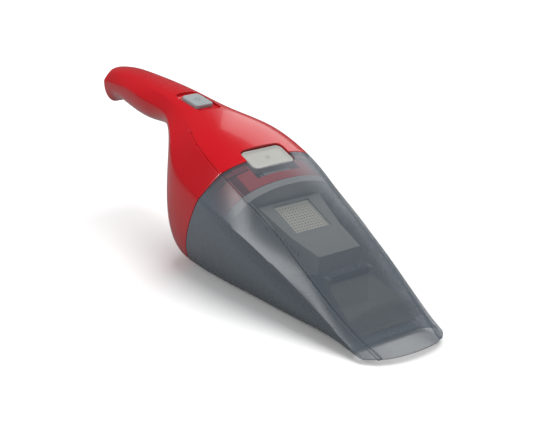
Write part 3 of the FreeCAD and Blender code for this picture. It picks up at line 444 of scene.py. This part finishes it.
def build_top_shell(sizes):
    """Crown strip of the hull (around -1 to 1) with openings for the switch's recess and the button."""
    one = np.concatenate([np.linspace(0.0, 0.94, 19)[1:], [0.965, 0.98, 0.99, 0.9995]])
    around = np.concatenate([-one[::-1], [0.0], one])
    skin = Patchwork().grid(shell_grid(around, groove=0.3))
    data = skin.mesh("top_shell")
    merge_close(data)
    face_out(data)
    shell = new_object("top_shell", data)
    thicken(shell, sizes.housing_wall)
    settle(shell)
    cutters = [
        column_cutter(20.0, 11.0, 5.0, -8.0, 8.0, SWITCH @ BACK_2),
        column_cutter(12.1, 19.7, 5.5, -12.0, 8.0, BUTTON),
    ]
    for cutter in cutters:
        cut(shell, cutter)
    soften(shell, 0.0004, 2, 50.0)
    settle(shell, 28.0)
    remove(cutters)
    return shell


def build_recess_tray(sizes):
    """Floor and walls of the switch's recess, hung under the crown: a cup of rounded rectangles whose
    rim drops with the crown, with the slot cut through and a raised step round its rear."""
    depth = -sizes.recess_depth / MM
    levels = [(20.9, 11.9, 5.9, depth - 1.6), (21.0, 12.0, 6.0, -2.2, 0.012), (20.9, 11.9, 5.9, -1.3, 0.012),
              (19.9, 10.9, 4.9, -1.3, 0.012), (19.7, 10.7, 4.7, depth + 0.3), (19.2, 10.2, 4.2, depth),
              (6.0, 5.0, 2.0, depth)]
    tray = new_object("switch_recess", Patchwork().stack(rounded_stack(levels)).mesh("recess", SWITCH @ BACK_2))
    cutter = column_cutter(7.4, 3.0, 0.8, -8.0, 4.0, SWITCH)
    cut(tray, cutter)
    settle(tray, 35.0)
    remove([cutter])
    ridge = np.linspace(-1.05, 1.05, 40)
    bend = np.stack([-15.6 - 2.2 * np.cos(ridge * 1.3) + 0.5, 8.3 * np.sin(ridge * 1.45),
                     np.full(40, depth + 0.2)], 1) * MM
    step = Patchwork().stack(tube_along(bend, 0.5 * MM, 10)).mesh("ridge", SWITCH)
    work = bmesh.new()
    work.from_mesh(tray.data)
    work.from_mesh(step)
    work.to_mesh(tray.data)
    work.free()
    tray.data.shade_smooth()
    tray.data.set_sharp_from_angle(angle=math.radians(35.0))
    return tray


def build_lower_shell(sizes):
    """Side facets, flanks and belly of the hull (around 1 to 4 on both sides) with the closed end,
    air slots at the rear, the socket's hole and the screw holes."""
    one = np.concatenate([[1.0, 1.006, 1.014, 1.026, 1.04], np.linspace(1.07, 1.96, 14),
                          np.linspace(2.03, 2.96, 20), np.linspace(3.05, 4.0, 5)])
    around = np.concatenate([one, -one[-2::-1]])
    skin = Patchwork().grid(shell_grid(around, groove=0.7))
    data = skin.mesh("lower_shell")
    merge_close(data)
    face_out(data)
    shell = new_object("lower_shell", data)
    thicken(shell, sizes.housing_wall)
    settle(shell)
    cutters = []
    for level in np.arange(5) * 7.0 + 27.5:
        slot = Patchwork().stack(rounded_stack([(1.5, 18.0, 1.4, -15.0), (1.5, 18.0, 1.4, 15.0)]))
        place = Matrix.Translation(Vector((-66.0, 0.0, level)) * MM) @ Matrix.Rotation(math.pi / 2, 4, "Y")
        cutters.append(new_object("cutter", slot.mesh("cutter", place)))
    turn = Matrix.Rotation(math.pi / 2, 4, "Y")
    for y, radius in ((0.0, 4.3), (8.2, 1.3)):
        hole = Patchwork().stack(rounded_stack([(radius, radius, radius - 0.01, -6.0),
                                                (radius, radius, radius - 0.01, 9.0)]))
        place = Matrix.Translation(Vector((-198.0, y, 111.0)) * MM) @ turn
        cutters.append(new_object("cutter", hole.mesh("cutter", place)))
    for x, y, high in ((-181.3, 0.0, 108.0), (-48.0, 18.7, 20.0), (-48.0, -18.7, 20.0)):
        hole = Patchwork().stack(rounded_stack([(3.15, 3.15, 3.14, -1.0), (3.15, 3.15, 3.14, high)]))
        cutters.append(new_object("cutter", hole.mesh("cutter", Matrix.Translation((x * MM, y * MM, 0.0)))))
    for cutter in cutters:
        cut(shell, cutter)
    soften(shell, 0.0003, 2, 50.0)
    settle(shell, 28.0)
    remove(cutters)
    return shell


def build_switch():
    """Rounded cap with a shallow dish, and the raised arc and bar of an on-off mark: stacked
    rounded rectangles, and a tube along three quarters of a circle."""
    levels = fillet_levels(12.0, 8.4, 3.5, -2.5, 0.7, 1.2, 6)
    levels += [(9.8, 6.2, 2.2, 0.7), (9.0, 5.6, 2.0, 0.58), (7.5, 4.6, 1.8, 0.42), (4.0, 2.5, 1.2, 0.35),
               (1.0, 0.7, 0.4, 0.34)]
    shift = Matrix.Translation((-3.0 * MM, 0.0, 0.0))
    cap = Patchwork().stack(rounded_stack(levels, 8, 0.004))
    turn = np.linspace(0.9, 2 * np.pi - 0.9, 28)
    arc = np.stack([2.5 * np.cos(turn), 2.5 * np.sin(turn), np.full(28, 0.43)], 1) * MM
    bar = np.stack([np.linspace(0.6, 3.2, 8), np.zeros(8), np.full(8, 0.43)], 1) * MM
    for route in (arc, bar):
        tube = tube_along(route, 0.26 * MM, 8)
        cap.stack(tube)
    data = cap.mesh("switch_cap", SWITCH @ shift)
    work = new_object("switch_cap", data)
    settle(work, 40.0)
    return work


def build_button():
    """Rounded cap with a raised rim round a dished middle, and one small raised ring in it."""
    levels = fillet_levels(11.6, 19.2, 5.0, -6.2, -1.6, 0.9, 6)
    levels += [(9.9, 17.5, 3.7, -1.58), (9.4, 17.0, 3.3, -1.75), (8.9, 16.5, 3.0, -2.15),
               (8.4, 16.0, 2.8, -2.32), (6.5, 13.0, 2.0, -2.45), (3.0, 7.0, 1.2, -2.55), (0.6, 1.5, 0.3, -2.57)]
    cap = Patchwork().stack(rounded_stack(levels, 10, 0.0035))
    turn = np.linspace(0, 2 * np.pi, 20, endpoint=False)
    ring = np.stack([1.5 * np.cos(turn), 1.5 * np.sin(turn), np.full(20, -2.5)], 1) * MM
    cap.grid(tube_along(ring, 0.2 * MM, 8, True), wrap_rows=True, wrap_columns=True, flip=True)
    data = cap.mesh("button_cap", BUTTON)
    piece = new_object("button_cap", data)
    return settle(piece, 40.0)


def loop_round():
    """Around-parameters of the whole section, once round."""
    near_crease = [0.96, 0.975, 0.985, 0.993, 1.0, 1.007, 1.015, 1.025, 1.04]
    one = np.concatenate([np.linspace(0.0, 0.94, 17), near_crease,
                          np.linspace(1.07, 1.95, 12),
                          np.linspace(2.04, 2.96, 18), np.linspace(3.06, 4.0, 5)])
    return np.concatenate([one, -one[-2:0:-1]])


def build_bowl(sizes):
    """Whole hull from the seam to the mouth, a thin wall, and the notch that clears the button."""
    around = loop_round()
    places = np.concatenate([[7.006, 7.012, 7.03], np.linspace(7.06, 10.9, 100), np.linspace(10.92, MOUTH, 6)])
    skin = hull_points(places, around)
    sunk = hull_points(places, around, 0.45)
    skin = skin + dip(around, 0.014)[None, :, None] * (sunk - skin)
    skin = Patchwork().grid(skin, wrap_columns=True)
    data = skin.mesh("bowl_shell")
    merge_close(data)
    face_out(data)
    shell = new_object("bowl_shell", data)
    thicken(shell, sizes.bowl_wall)
    settle(shell)
    cutter = column_cutter(12.2, 19.8, 5.6, -12.0, 8.0, BUTTON)
    cut(shell, cutter)
    soften(shell, 0.0005, 2, 50.0)
    settle(shell, 28.0)
    remove([cutter])
    return shell


# ---------------------------------------------------------------- materials

def new_group(name, inputs, outputs):
    """Shader node group with named inputs (name, kind, default) and outputs (name, kind)."""
    tree = bpy.data.node_groups.new(name, "ShaderNodeTree")
    for label, kind, default in inputs:
        socket = tree.interface.new_socket(label, in_out="INPUT", socket_type=kind)
        socket.default_value = default
    for label, kind in outputs:
        tree.interface.new_socket(label, in_out="OUTPUT", socket_type=kind)
    start = tree.nodes.new("NodeGroupInput")
    finish = tree.nodes.new("NodeGroupOutput")
    return tree, start, finish


def noise_node(tree, scale, detail, vector=None, roughness=0.5):
    """Noise texture at a scale in cycles per metre."""
    node = tree.nodes.new("ShaderNodeTexNoise")
    node.inputs["Scale"].default_value = scale
    node.inputs["Detail"].default_value = detail
    node.inputs["Roughness"].default_value = roughness
    if vector is not None:
        tree.links.new(vector, node.inputs["Vector"])
    return node


def math_node(tree, operation, first, second=None, clamp=False):
    """Math node; each operand is a socket or a number."""
    node = tree.nodes.new("ShaderNodeMath")
    node.operation = operation
    node.use_clamp = clamp
    for index, value in enumerate((first, second)):
        if value is None:
            continue
        if isinstance(value, (int, float)):
            node.inputs[index].default_value = value
        else:
            tree.links.new(value, node.inputs[index])
    return node.outputs[0]


def range_node(tree, value, low, high, out_low, out_high, smooth=False):
    """Map a value from one range to another."""
    node = tree.nodes.new("ShaderNodeMapRange")
    node.interpolation_type = "SMOOTHSTEP" if smooth else "LINEAR"
    tree.links.new(value, node.inputs["Value"])
    for label, number in (("From Min", low), ("From Max", high), ("To Min", out_low), ("To Max", out_high)):
        node.inputs[label].default_value = number
    return node.outputs["Result"]


def moulded_group():
    """Moulded plastic: slow colour drift, uneven gloss and a fine skin. Noise at three scales."""
    tree, start, finish = new_group(
        "Moulded surface",
        [("Colour", "NodeSocketColor", (0.5, 0.5, 0.5, 1)), ("Drift", "NodeSocketFloat", 0.05),
         ("Roughness", "NodeSocketFloat", 0.3), ("Unevenness", "NodeSocketFloat", 0.06),
         ("Skin", "NodeSocketFloat", 0.2), ("Grain Scale", "NodeSocketFloat", 1400.0)],
        [("Colour", "NodeSocketColor"), ("Roughness", "NodeSocketFloat"), ("Height", "NodeSocketFloat")])
    place = tree.nodes.new("ShaderNodeTexCoord").outputs["Object"]
    slow = noise_node(tree, 26.0, 3.0, place)
    middle = noise_node(tree, 160.0, 4.0, place)
    fine = noise_node(tree, 1400.0, 2.0, place)
    tree.links.new(start.outputs["Grain Scale"], fine.inputs["Scale"])
    swing = math_node(tree, "SUBTRACT", slow.outputs[0], 0.5)
    swing = math_node(tree, "MULTIPLY", swing, start.outputs["Drift"])
    gain = math_node(tree, "ADD", swing, 1.0)
    tint = tree.nodes.new("ShaderNodeVectorMath")
    tint.operation = "SCALE"
    tree.links.new(start.outputs["Colour"], tint.inputs[0])
    tree.links.new(gain, tint.inputs["Scale"])
    tree.links.new(tint.outputs["Vector"], finish.inputs["Colour"])
    sway = math_node(tree, "SUBTRACT", middle.outputs[0], 0.5)
    sway = math_node(tree, "MULTIPLY", sway, start.outputs["Unevenness"])
    rough = math_node(tree, "ADD", start.outputs["Roughness"], sway, clamp=True)
    tree.links.new(rough, finish.inputs["Roughness"])
    height = math_node(tree, "MULTIPLY", fine.outputs[0], start.outputs["Skin"])
    tree.links.new(height, finish.inputs["Height"])
    return tree


def grip_group():
    """Rows of small raised dots on the handle's crown: a staggered lattice of smooth bumps, faded out
    at the edges of a rounded patch."""
    tree, start, finish = new_group(
        "Grip dots",
        [("Pitch", "NodeSocketFloat", 0.0018), ("Front", "NodeSocketFloat", -0.098),
         ("Rear", "NodeSocketFloat", -0.165), ("Half Width", "NodeSocketFloat", 0.011)],
        [("Height", "NodeSocketFloat")])
    place = tree.nodes.new("ShaderNodeTexCoord").outputs["Object"]
    split = tree.nodes.new("ShaderNodeSeparateXYZ")
    tree.links.new(place, split.inputs[0])
    x = split.outputs["X"]
    y = split.outputs["Y"]
    row = math_node(tree, "DIVIDE", x, start.outputs["Pitch"])
    odd = math_node(tree, "MULTIPLY", math_node(tree, "MODULO", math_node(tree, "FLOOR", row), 2.0), 0.5)
    column = math_node(tree, "ADD", math_node(tree, "DIVIDE", y, start.outputs["Pitch"]), odd)
    du = math_node(tree, "SUBTRACT", math_node(tree, "FRACT", row), 0.5)
    dv = math_node(tree, "SUBTRACT", math_node(tree, "FRACT", column), 0.5)
    far = math_node(tree, "SQRT", math_node(tree, "ADD", math_node(tree, "POWER", du, 2.0),
                                            math_node(tree, "POWER", dv, 2.0)))
    dot = range_node(tree, far, 0.18, 0.36, 1.0, 0.0, True)
    reach = math_node(tree, "ABSOLUTE", y)
    edge = math_node(tree, "SUBTRACT", start.outputs["Half Width"], reach)
    inside = range_node(tree, edge, 0.0, 0.0006, 0.0, 1.0, True)
    ahead = math_node(tree, "SUBTRACT", start.outputs["Front"], x)
    behind = math_node(tree, "SUBTRACT", x, start.outputs["Rear"])
    inside = math_node(tree, "MULTIPLY", inside, range_node(tree, ahead, 0.0, 0.001, 0.0, 1.0, True))
    inside = math_node(tree, "MULTIPLY", inside, range_node(tree, behind, 0.0, 0.001, 0.0, 1.0, True))
    tree.links.new(math_node(tree, "MULTIPLY", dot, inside), finish.inputs["Height"])
    return tree


GROUPS = {}


def group_tree(name):
    """Shared effect group, built once."""
    if name not in GROUPS:
        GROUPS[name] = {"moulded": moulded_group, "grip": grip_group}[name]()
    return GROUPS[name]


def new_material(name):
    """Material with its Principled shader."""
    material = bpy.data.materials.new(name)
    material.use_nodes = True
    shader = material.node_tree.nodes["Principled BSDF"]
    return material, material.node_tree, shader


def surface_node(tree, shader, colour, roughness, drift, unevenness, skin, grain):
    """The shared surface effect, wired to colour and roughness."""
    surface = tree.nodes.new("ShaderNodeGroup")
    surface.node_tree = group_tree("moulded")
    surface.inputs["Colour"].default_value = (*colour, 1)
    surface.inputs["Drift"].default_value = drift
    surface.inputs["Roughness"].default_value = roughness
    surface.inputs["Unevenness"].default_value = unevenness
    surface.inputs["Skin"].default_value = skin
    surface.inputs["Grain Scale"].default_value = grain
    tree.links.new(surface.outputs["Colour"], shader.inputs["Base Color"])
    tree.links.new(surface.outputs["Roughness"], shader.inputs["Roughness"])
    return surface


def object_parts(tree):
    """X, Y and Z of the point, in object coordinates."""
    place = tree.nodes.new("ShaderNodeTexCoord")
    parts = tree.nodes.new("ShaderNodeSeparateXYZ")
    tree.links.new(place.outputs["Object"], parts.inputs["Vector"])
    return parts.outputs


def paint_channel_shade(tree, shader, surface, middle):
    """Painted shade: a darker strip on each side, standing in for the shade in the skirt's side channel, at this
    distance from the object's middle plane.
    """
    side = math_node(tree, "ABSOLUTE", object_parts(tree)["Y"])
    away = math_node(tree, "ABSOLUTE", math_node(tree, "SUBTRACT", side, middle))
    shade = range_node(tree, away, CHANNEL_HALF, CHANNEL_HALF + 0.001, CHANNEL_SHADE, 1.0, True)
    tint = tree.nodes.new("ShaderNodeVectorMath")
    tint.operation = "SCALE"
    tree.links.new(surface.outputs["Colour"], tint.inputs[0])
    tree.links.new(shade, tint.inputs["Scale"])
    tree.links.new(tint.outputs["Vector"], shader.inputs["Base Color"])


def moulded_material(name, colour, roughness, drift, unevenness, skin, grain, bump, coat=0.0,
                     coat_roughness=0.05, grip=False, channel=0.0):
    """Moulded plastic with its own numbers for the shared surface effect."""
    material, tree, shader = new_material(name)
    surface = surface_node(tree, shader, colour, roughness, drift, unevenness, skin, grain)
    # A channel setting adds painted shade: a darker strip that stands in for the shade in the skirt's side
    # channels.
    if channel:
        paint_channel_shade(tree, shader, surface, channel)
    height = surface.outputs["Height"]
    if grip:
        dots = tree.nodes.new("ShaderNodeGroup")
        dots.node_tree = group_tree("grip")
        height = math_node(tree, "ADD", height,
                           math_node(tree, "MULTIPLY", dots.outputs["Height"], GRIP_GAIN))
    relief = tree.nodes.new("ShaderNodeBump")
    relief.inputs["Strength"].default_value = bump
    relief.inputs["Distance"].default_value = BUMP_DISTANCE
    tree.links.new(height, relief.inputs["Height"])
    tree.links.new(relief.outputs["Normal"], shader.inputs["Normal"])
    shader.inputs["Coat Weight"].default_value = coat
    shader.inputs["Coat Roughness"].default_value = coat_roughness
    shader.inputs["IOR"].default_value = 1.5
    return material


def smoked_material(name, colour, clear, milky, roughness):
    """Smoky plastic: clear over the crown, milky lower down, nearly closed where it is seen along its
    surface. The level z + x / 2 runs along the crease that parts the crown from the side."""
    material, tree, shader = new_material(name)
    surface_node(tree, shader, colour, roughness, 0.08, 0.05, 0.2, 1400.0)
    facing = tree.nodes.new("ShaderNodeLayerWeight")
    facing.inputs["Blend"].default_value = 0.5
    edge = range_node(tree, facing.outputs["Facing"], 0.4, 0.97, 1.0, 0.08)
    parts = object_parts(tree)
    level = math_node(tree, "ADD", parts["Z"], math_node(tree, "MULTIPLY", parts["X"], 0.5))
    open_part = range_node(tree, level, MILKY_LEVEL, CLEAR_LEVEL, 1.0 - milky, 1.0 - clear)
    hidden = math_node(tree, "MULTIPLY", open_part, edge)
    alpha = math_node(tree, "SUBTRACT", 1.0, hidden)
    tree.links.new(alpha, shader.inputs["Alpha"])
    shader.inputs["Coat Weight"].default_value = 0.5
    shader.inputs["Coat Roughness"].default_value = 0.2
    material.surface_render_method = "BLENDED"
    return material


def metal_material(name, colour, roughness):
    """Drawn or plated metal with fine streaks in its gloss."""
    material, tree, shader = new_material(name)
    surface_node(tree, shader, colour, roughness, 0.15, 0.2, 0.2, 900.0)
    shader.inputs["Metallic"].default_value = 1.0
    return material


# Painted shade in the skirt's side channels: half width of the darker strip, and how dark it is painted.
CHANNEL_HALF = 0.0024
CHANNEL_SHADE = 0.3
GRIP_GAIN = 18.0
BUMP_DISTANCE = 0.0001
MILKY_LEVEL = 0.074
CLEAR_LEVEL = 0.104

# Slot: name, colour or the name of its setting, roughness, drift, unevenness, skin, grain, bump, extras.
PLASTICS = {
    "red_gloss": ("Red gloss plastic", "red", 0.24, 0.05, 0.05, 0.2, 900.0, 0.03,
                  {"coat": 0.35, "coat_roughness": 0.06}),
    "red_grip": ("Red gloss with grip dots", "red", 0.24, 0.05, 0.05, 0.2, 900.0, 0.25,
                 {"coat": 0.35, "coat_roughness": 0.06, "grip": True}),
    # The skirt's darker side strips are painted shade for its side channels.
    "skirt_red": ("Red skirt with dark channels", (0.6, 0.06, 0.06), 0.35, 0.06, 0.08, 0.25, 1400.0, 0.05,
                  {"channel": 0.0345}),
    "black_rubber": ("Black rubber", (0.02, 0.02, 0.021), 0.75, 0.3, 0.2, 1.0, 2600.0, 0.3, {}),
    "red_rubber": ("Red rubber", (0.3, 0.02, 0.025), 0.6, 0.2, 0.2, 1.0, 2600.0, 0.3, {}),
    "grey_plastic": ("Grey plastic", (0.23, 0.24, 0.25), 0.45, 0.1, 0.1, 1.0, 1800.0, 0.15, {}),
    "black_plastic": ("Black plastic", (0.02, 0.02, 0.022), 0.4, 0.2, 0.1, 1.0, 1600.0, 0.15, {}),
    "magnet": ("Sintered magnet", (0.05, 0.05, 0.055), 0.6, 0.4, 0.2, 1.0, 3000.0, 0.3, {}),
    "cell_wrap": ("Shrink wrap", (0.02, 0.12, 0.3), 0.25, 0.1, 0.1, 0.3, 400.0, 0.1, {}),
    "board_green": ("Circuit board", (0.01, 0.1, 0.035), 0.35, 0.25, 0.15, 1.0, 1100.0, 0.2, {}),
    "clear_lens": ("Milky lens", (0.75, 0.75, 0.7), 0.2, 0.05, 0.05, 0.2, 800.0, 0.05, {}),
    "wire_cover": ("Wire cover", (0.5, 0.02, 0.02), 0.45, 0.1, 0.1, 0.5, 1500.0, 0.1, {}),
    "switch_grey": ("Switch grey", "switch_grey", 0.42, 0.05, 0.08, 1.0, 2200.0, 0.12, {}),
    "button_grey": ("Button grey", "button_grey", 0.4, 0.05, 0.08, 1.0, 2200.0, 0.12, {}),
    "filter_paper": ("Filter paper", (0.72, 0.68, 0.6), 0.95, 0.15, 0.1, 1.0, 2500.0, 0.5, {}),
    "pale_grey_plastic": ("Pale grey plastic", (0.5, 0.49, 0.48), 0.5, 0.05, 0.1, 1.0, 1800.0, 0.1, {}),
    "dark_grey_plastic": ("Dark grey plastic", (0.34, 0.345, 0.33), 0.5, 0.1, 0.1, 1.0, 1800.0, 0.12, {}),
    "screen_plastic": ("Screen plastic", (0.8, 0.77, 0.66), 0.55, 0.1, 0.1, 1.0, 1800.0, 0.12, {}),
}
METALS = {
    "plated_steel": ("Plated steel", (0.62, 0.62, 0.6), 0.3),
    "bronze": ("Bronze bush", (0.55, 0.35, 0.15), 0.35),
    "nickel_strip": ("Nickel strip", (0.66, 0.63, 0.55), 0.35),
}
SMOKED = {
    "smoked_clear": ("Smoked clear plastic", "smoke", 0.3, 0.82, 0.27),
    "duct_clear": ("Smoked duct plastic", (0.3, 0.3, 0.27), 0.3, 0.3, 0.2),
}
MATERIALS = {}


def material_for(slot):
    """Material of a slot, built on first use."""
    if slot in MATERIALS:
        return MATERIALS[slot]
    name, colour, *numbers = (METALS | SMOKED | PLASTICS)[slot]
    if isinstance(colour, str):
        colour = tuple(getattr(bpy.context.scene.hand_vacuum_colours, colour))
    if slot in METALS:
        MATERIALS[slot] = metal_material(name, colour, *numbers)
    elif slot in SMOKED:
        MATERIALS[slot] = smoked_material(name, colour, *numbers)
    else:
        MATERIALS[slot] = moulded_material(name, colour, *numbers[:-1], **numbers[-1])
    return MATERIALS[slot]


# ---------------------------------------------------------------- settings

class HandVacuumSizes(bpy.types.PropertyGroup):
    """Sizes of the skins."""
    housing_wall: bpy.props.FloatProperty(name="Housing wall", description="Wall of the red shells",
                                          default=0.0025, min=0.001, unit="LENGTH")
    bowl_wall: bpy.props.FloatProperty(name="Bowl wall", description="Wall of the clear bowl",
                                       default=0.002, min=0.001, unit="LENGTH")
    recess_depth: bpy.props.FloatProperty(name="Recess depth", description="Depth of the switch's recess",
                                          default=0.0028, min=0.0005, unit="LENGTH")


class HandVacuumColours(bpy.types.PropertyGroup):
    """Colours of the visible plastics."""
    red: bpy.props.FloatVectorProperty(name="Red", description="Colour of the housing", subtype="COLOR",
                                       default=(0.55, 0.003, 0.01), min=0, max=1)
    smoke: bpy.props.FloatVectorProperty(name="Smoke", description="Tint of the clear bowl", subtype="COLOR",
                                         default=(0.15, 0.178, 0.21), min=0, max=1)
    switch_grey: bpy.props.FloatVectorProperty(name="Switch grey", description="Colour of the slide switch",
                                               subtype="COLOR", default=(0.31, 0.34, 0.35), min=0, max=1)
    button_grey: bpy.props.FloatVectorProperty(name="Button grey", description="Colour of the release button",
                                               subtype="COLOR", default=(0.4, 0.4, 0.375), min=0, max=1)


# ---------------------------------------------------------------- operators

class HV_OT_housing(bpy.types.Operator):
    """Build the two red shells"""
    bl_idname = "hand_vacuum.housing"
    bl_label = "Housing"

    def execute(self, context):
        sizes = context.scene.hand_vacuum_sizes
        finish_piece(build_top_shell(sizes), "housing", material_for("red_grip"),
                     ["top_housing"])
        finish_piece(build_lower_shell(sizes), "housing", material_for("red_gloss"),
                     ["lower_housing"])
        finish_piece(build_recess_tray(sizes), "housing", material_for("red_gloss"))
        return {"FINISHED"}


class HV_OT_controls(bpy.types.Operator):
    """Build the slide switch and the release button"""
    bl_idname = "hand_vacuum.controls"
    bl_label = "Switch and button"

    def execute(self, context):
        finish_piece(build_switch(), "switch", material_for("switch_grey"), ["power_switch"])
        finish_piece(build_button(), "button", material_for("button_grey"),
                     ["release_button"])
        return {"FINISHED"}


class HV_OT_bowl(bpy.types.Operator):
    """Build the clear bowl"""
    bl_idname = "hand_vacuum.bowl"
    bl_label = "Dust bowl"

    def execute(self, context):
        sizes = context.scene.hand_vacuum_sizes
        finish_piece(build_bowl(sizes), "bowl", material_for("smoked_clear"), ["dust_bowl"])
        return {"FINISHED"}


class HV_OT_frame_finish(bpy.types.Operator):
    """Give every CAD piece that stays in view its finish"""
    bl_idname = "hand_vacuum.frame_finish"
    bl_label = "CAD pieces"

    def execute(self, context):
        special = {"intake_flange": "skirt_red", "inlet_duct": "duct_clear", "prefilter_screen": "screen_plastic"}
        slots = {item["node"]: item["material_slot"] for item in frame["record"]["subparts"]}
        for node, piece in frame["nodes"].items():
            finish = material_for(special.get(node, slots[node]))
            if not piece.data.materials:
                piece.data.materials.append(finish)
            for index in range(len(piece.material_slots)):
                piece.material_slots[index].material = finish
        return {"FINISHED"}


class HV_OT_stage(bpy.types.Operator):
    """Set the floor, the lights and the camera"""
    bl_idname = "hand_vacuum.stage"
    bl_label = "Stage"

    def execute(self, context):
        build_stage(context.scene)
        return {"FINISHED"}


def area_light(name, spot, target, energy, size_x, size_y):
    """Soft rectangular light aimed at a point."""
    light = bpy.data.lights.new(name, "AREA")
    light.shape = "RECTANGLE"
    light.size = size_x
    light.size_y = size_y
    light.energy = energy
    lamp = bpy.data.objects.new(name, light)
    bpy.context.scene.collection.objects.link(lamp)
    lamp.location = spot
    lamp.rotation_euler = (Vector(target) - Vector(spot)).to_track_quat("-Z", "Y").to_euler()
    return lamp


LIGHT_STRENGTH = 0.32
REFLECTION_STRENGTH = 0.12
CAMERA_TARGET = (0.0265, 0.0, 0.050)
CAMERA_AZIMUTH = 90.0 - 53.58
CAMERA_RISE = 20.56


def dim_reflections(tree):
    """White where the camera sees it, pale as light and darker in reflections, by the kind of ray."""
    ray = tree.nodes.new("ShaderNodeLightPath")
    strength = range_node(tree, ray.outputs["Is Glossy Ray"], 0.0, 1.0,
                          LIGHT_STRENGTH, REFLECTION_STRENGTH)
    seen = math_node(tree, "MAXIMUM", strength, ray.outputs["Is Camera Ray"])
    tree.links.new(seen, tree.nodes["Background"].inputs["Strength"])


def build_stage(scene):
    """Pale floor, pale surroundings, three soft lights and the camera."""
    side = np.linspace(-4.0, 4.0, 9)
    x, y = np.meshgrid(side, side, indexing="ij")
    sheet = Patchwork().grid(np.stack([x, y, np.full_like(x, -0.0008)], 2))
    data = sheet.mesh("floor")
    if data.polygons[0].normal.z < 0:
        data.flip_normals()
    floor = new_object("floor", data)
    material, tree, shader = new_material("Pale floor")
    shader.inputs["Roughness"].default_value = 0.9
    ray = tree.nodes.new("ShaderNodeLightPath")
    shade = range_node(tree, ray.outputs["Is Camera Ray"], 0.0, 1.0, 0.25, 0.96)
    tree.links.new(shade, shader.inputs["Base Color"])
    data.materials.append(material)
    world = bpy.data.worlds.new("Pale room")
    world.use_nodes = True
    world.node_tree.nodes["Background"].inputs["Color"].default_value = (1, 1, 1, 1)
    scene.world = world
    dim_reflections(world.node_tree)
    middle = (0.02, 0.0, 0.06)
    area_light("back", (-0.55, 0.85, 0.7), middle, 2.1, 0.7, 0.7)
    area_light("side", (-0.14, -0.92, 0.64), middle, 4.2, 0.45, 0.4)
    sun = bpy.data.lights.new("overhead", "SUN")
    sun.energy = 2.5
    sun.angle = math.radians(50.0)
    lamp = bpy.data.objects.new("overhead", sun)
    scene.collection.objects.link(lamp)
    lamp.rotation_euler = (math.radians(-14.0), math.radians(8.0), 0.0)
    lamp.visible_glossy = False
    target = Vector(CAMERA_TARGET)
    azimuth = math.radians(CAMERA_AZIMUTH)
    rise = math.radians(CAMERA_RISE)
    camera = bpy.data.cameras.new("camera")
    camera.sensor_width = 36.0
    camera.lens = 84.8
    camera.shift_x = 0.0100
    camera.shift_y = -0.0035
    holder = bpy.data.objects.new("camera", camera)
    scene.collection.objects.link(holder)
    way = Vector((math.cos(azimuth) * math.cos(rise), -math.sin(azimuth) * math.cos(rise), math.sin(rise)))
    holder.location = target + way
    holder.rotation_euler = (-way).to_track_quat("-Z", "Y").to_euler()
    scene.camera = holder
    scene.view_settings.view_transform = "Standard"


class HV_PT_panel(bpy.types.Panel):
    """Sizes, colours and pieces of the handheld vacuum"""
    bl_idname = "HV_PT_panel"
    bl_label = "Handheld Vacuum"
    bl_space_type = "VIEW_3D"
    bl_region_type = "UI"
    bl_category = "Hand Vacuum"

    def draw(self, context):
        layout = self.layout
        for group in (context.scene.hand_vacuum_sizes, context.scene.hand_vacuum_colours):
            for label in group.__annotations__:
                layout.prop(group, label)
        for step in STEPS:
            layout.operator(step.bl_idname)


STEPS = (HV_OT_housing, HV_OT_controls, HV_OT_bowl, HV_OT_frame_finish, HV_OT_stage)
CLASSES = (HandVacuumSizes, HandVacuumColours) + STEPS + (HV_PT_panel,)


def register():
    """Register the classes and hang the settings on the scene."""
    for item in CLASSES:
        bpy.utils.register_class(item)
    bpy.types.Scene.hand_vacuum_sizes = bpy.props.PointerProperty(type=HandVacuumSizes)
    bpy.types.Scene.hand_vacuum_colours = bpy.props.PointerProperty(type=HandVacuumColours)


def unregister():
    """Take everything off again."""
    del bpy.types.Scene.hand_vacuum_colours
    del bpy.types.Scene.hand_vacuum_sizes
    for item in reversed(CLASSES):
        bpy.utils.unregister_class(item)


def main():
    """Build every piece."""
    register()
    bpy.ops.hand_vacuum.housing()
    bpy.ops.hand_vacuum.controls()
    bpy.ops.hand_vacuum.bowl()
    bpy.ops.hand_vacuum.frame_finish()
    bpy.ops.hand_vacuum.stage()
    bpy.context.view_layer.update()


if __name__ == "__main__":
    main()
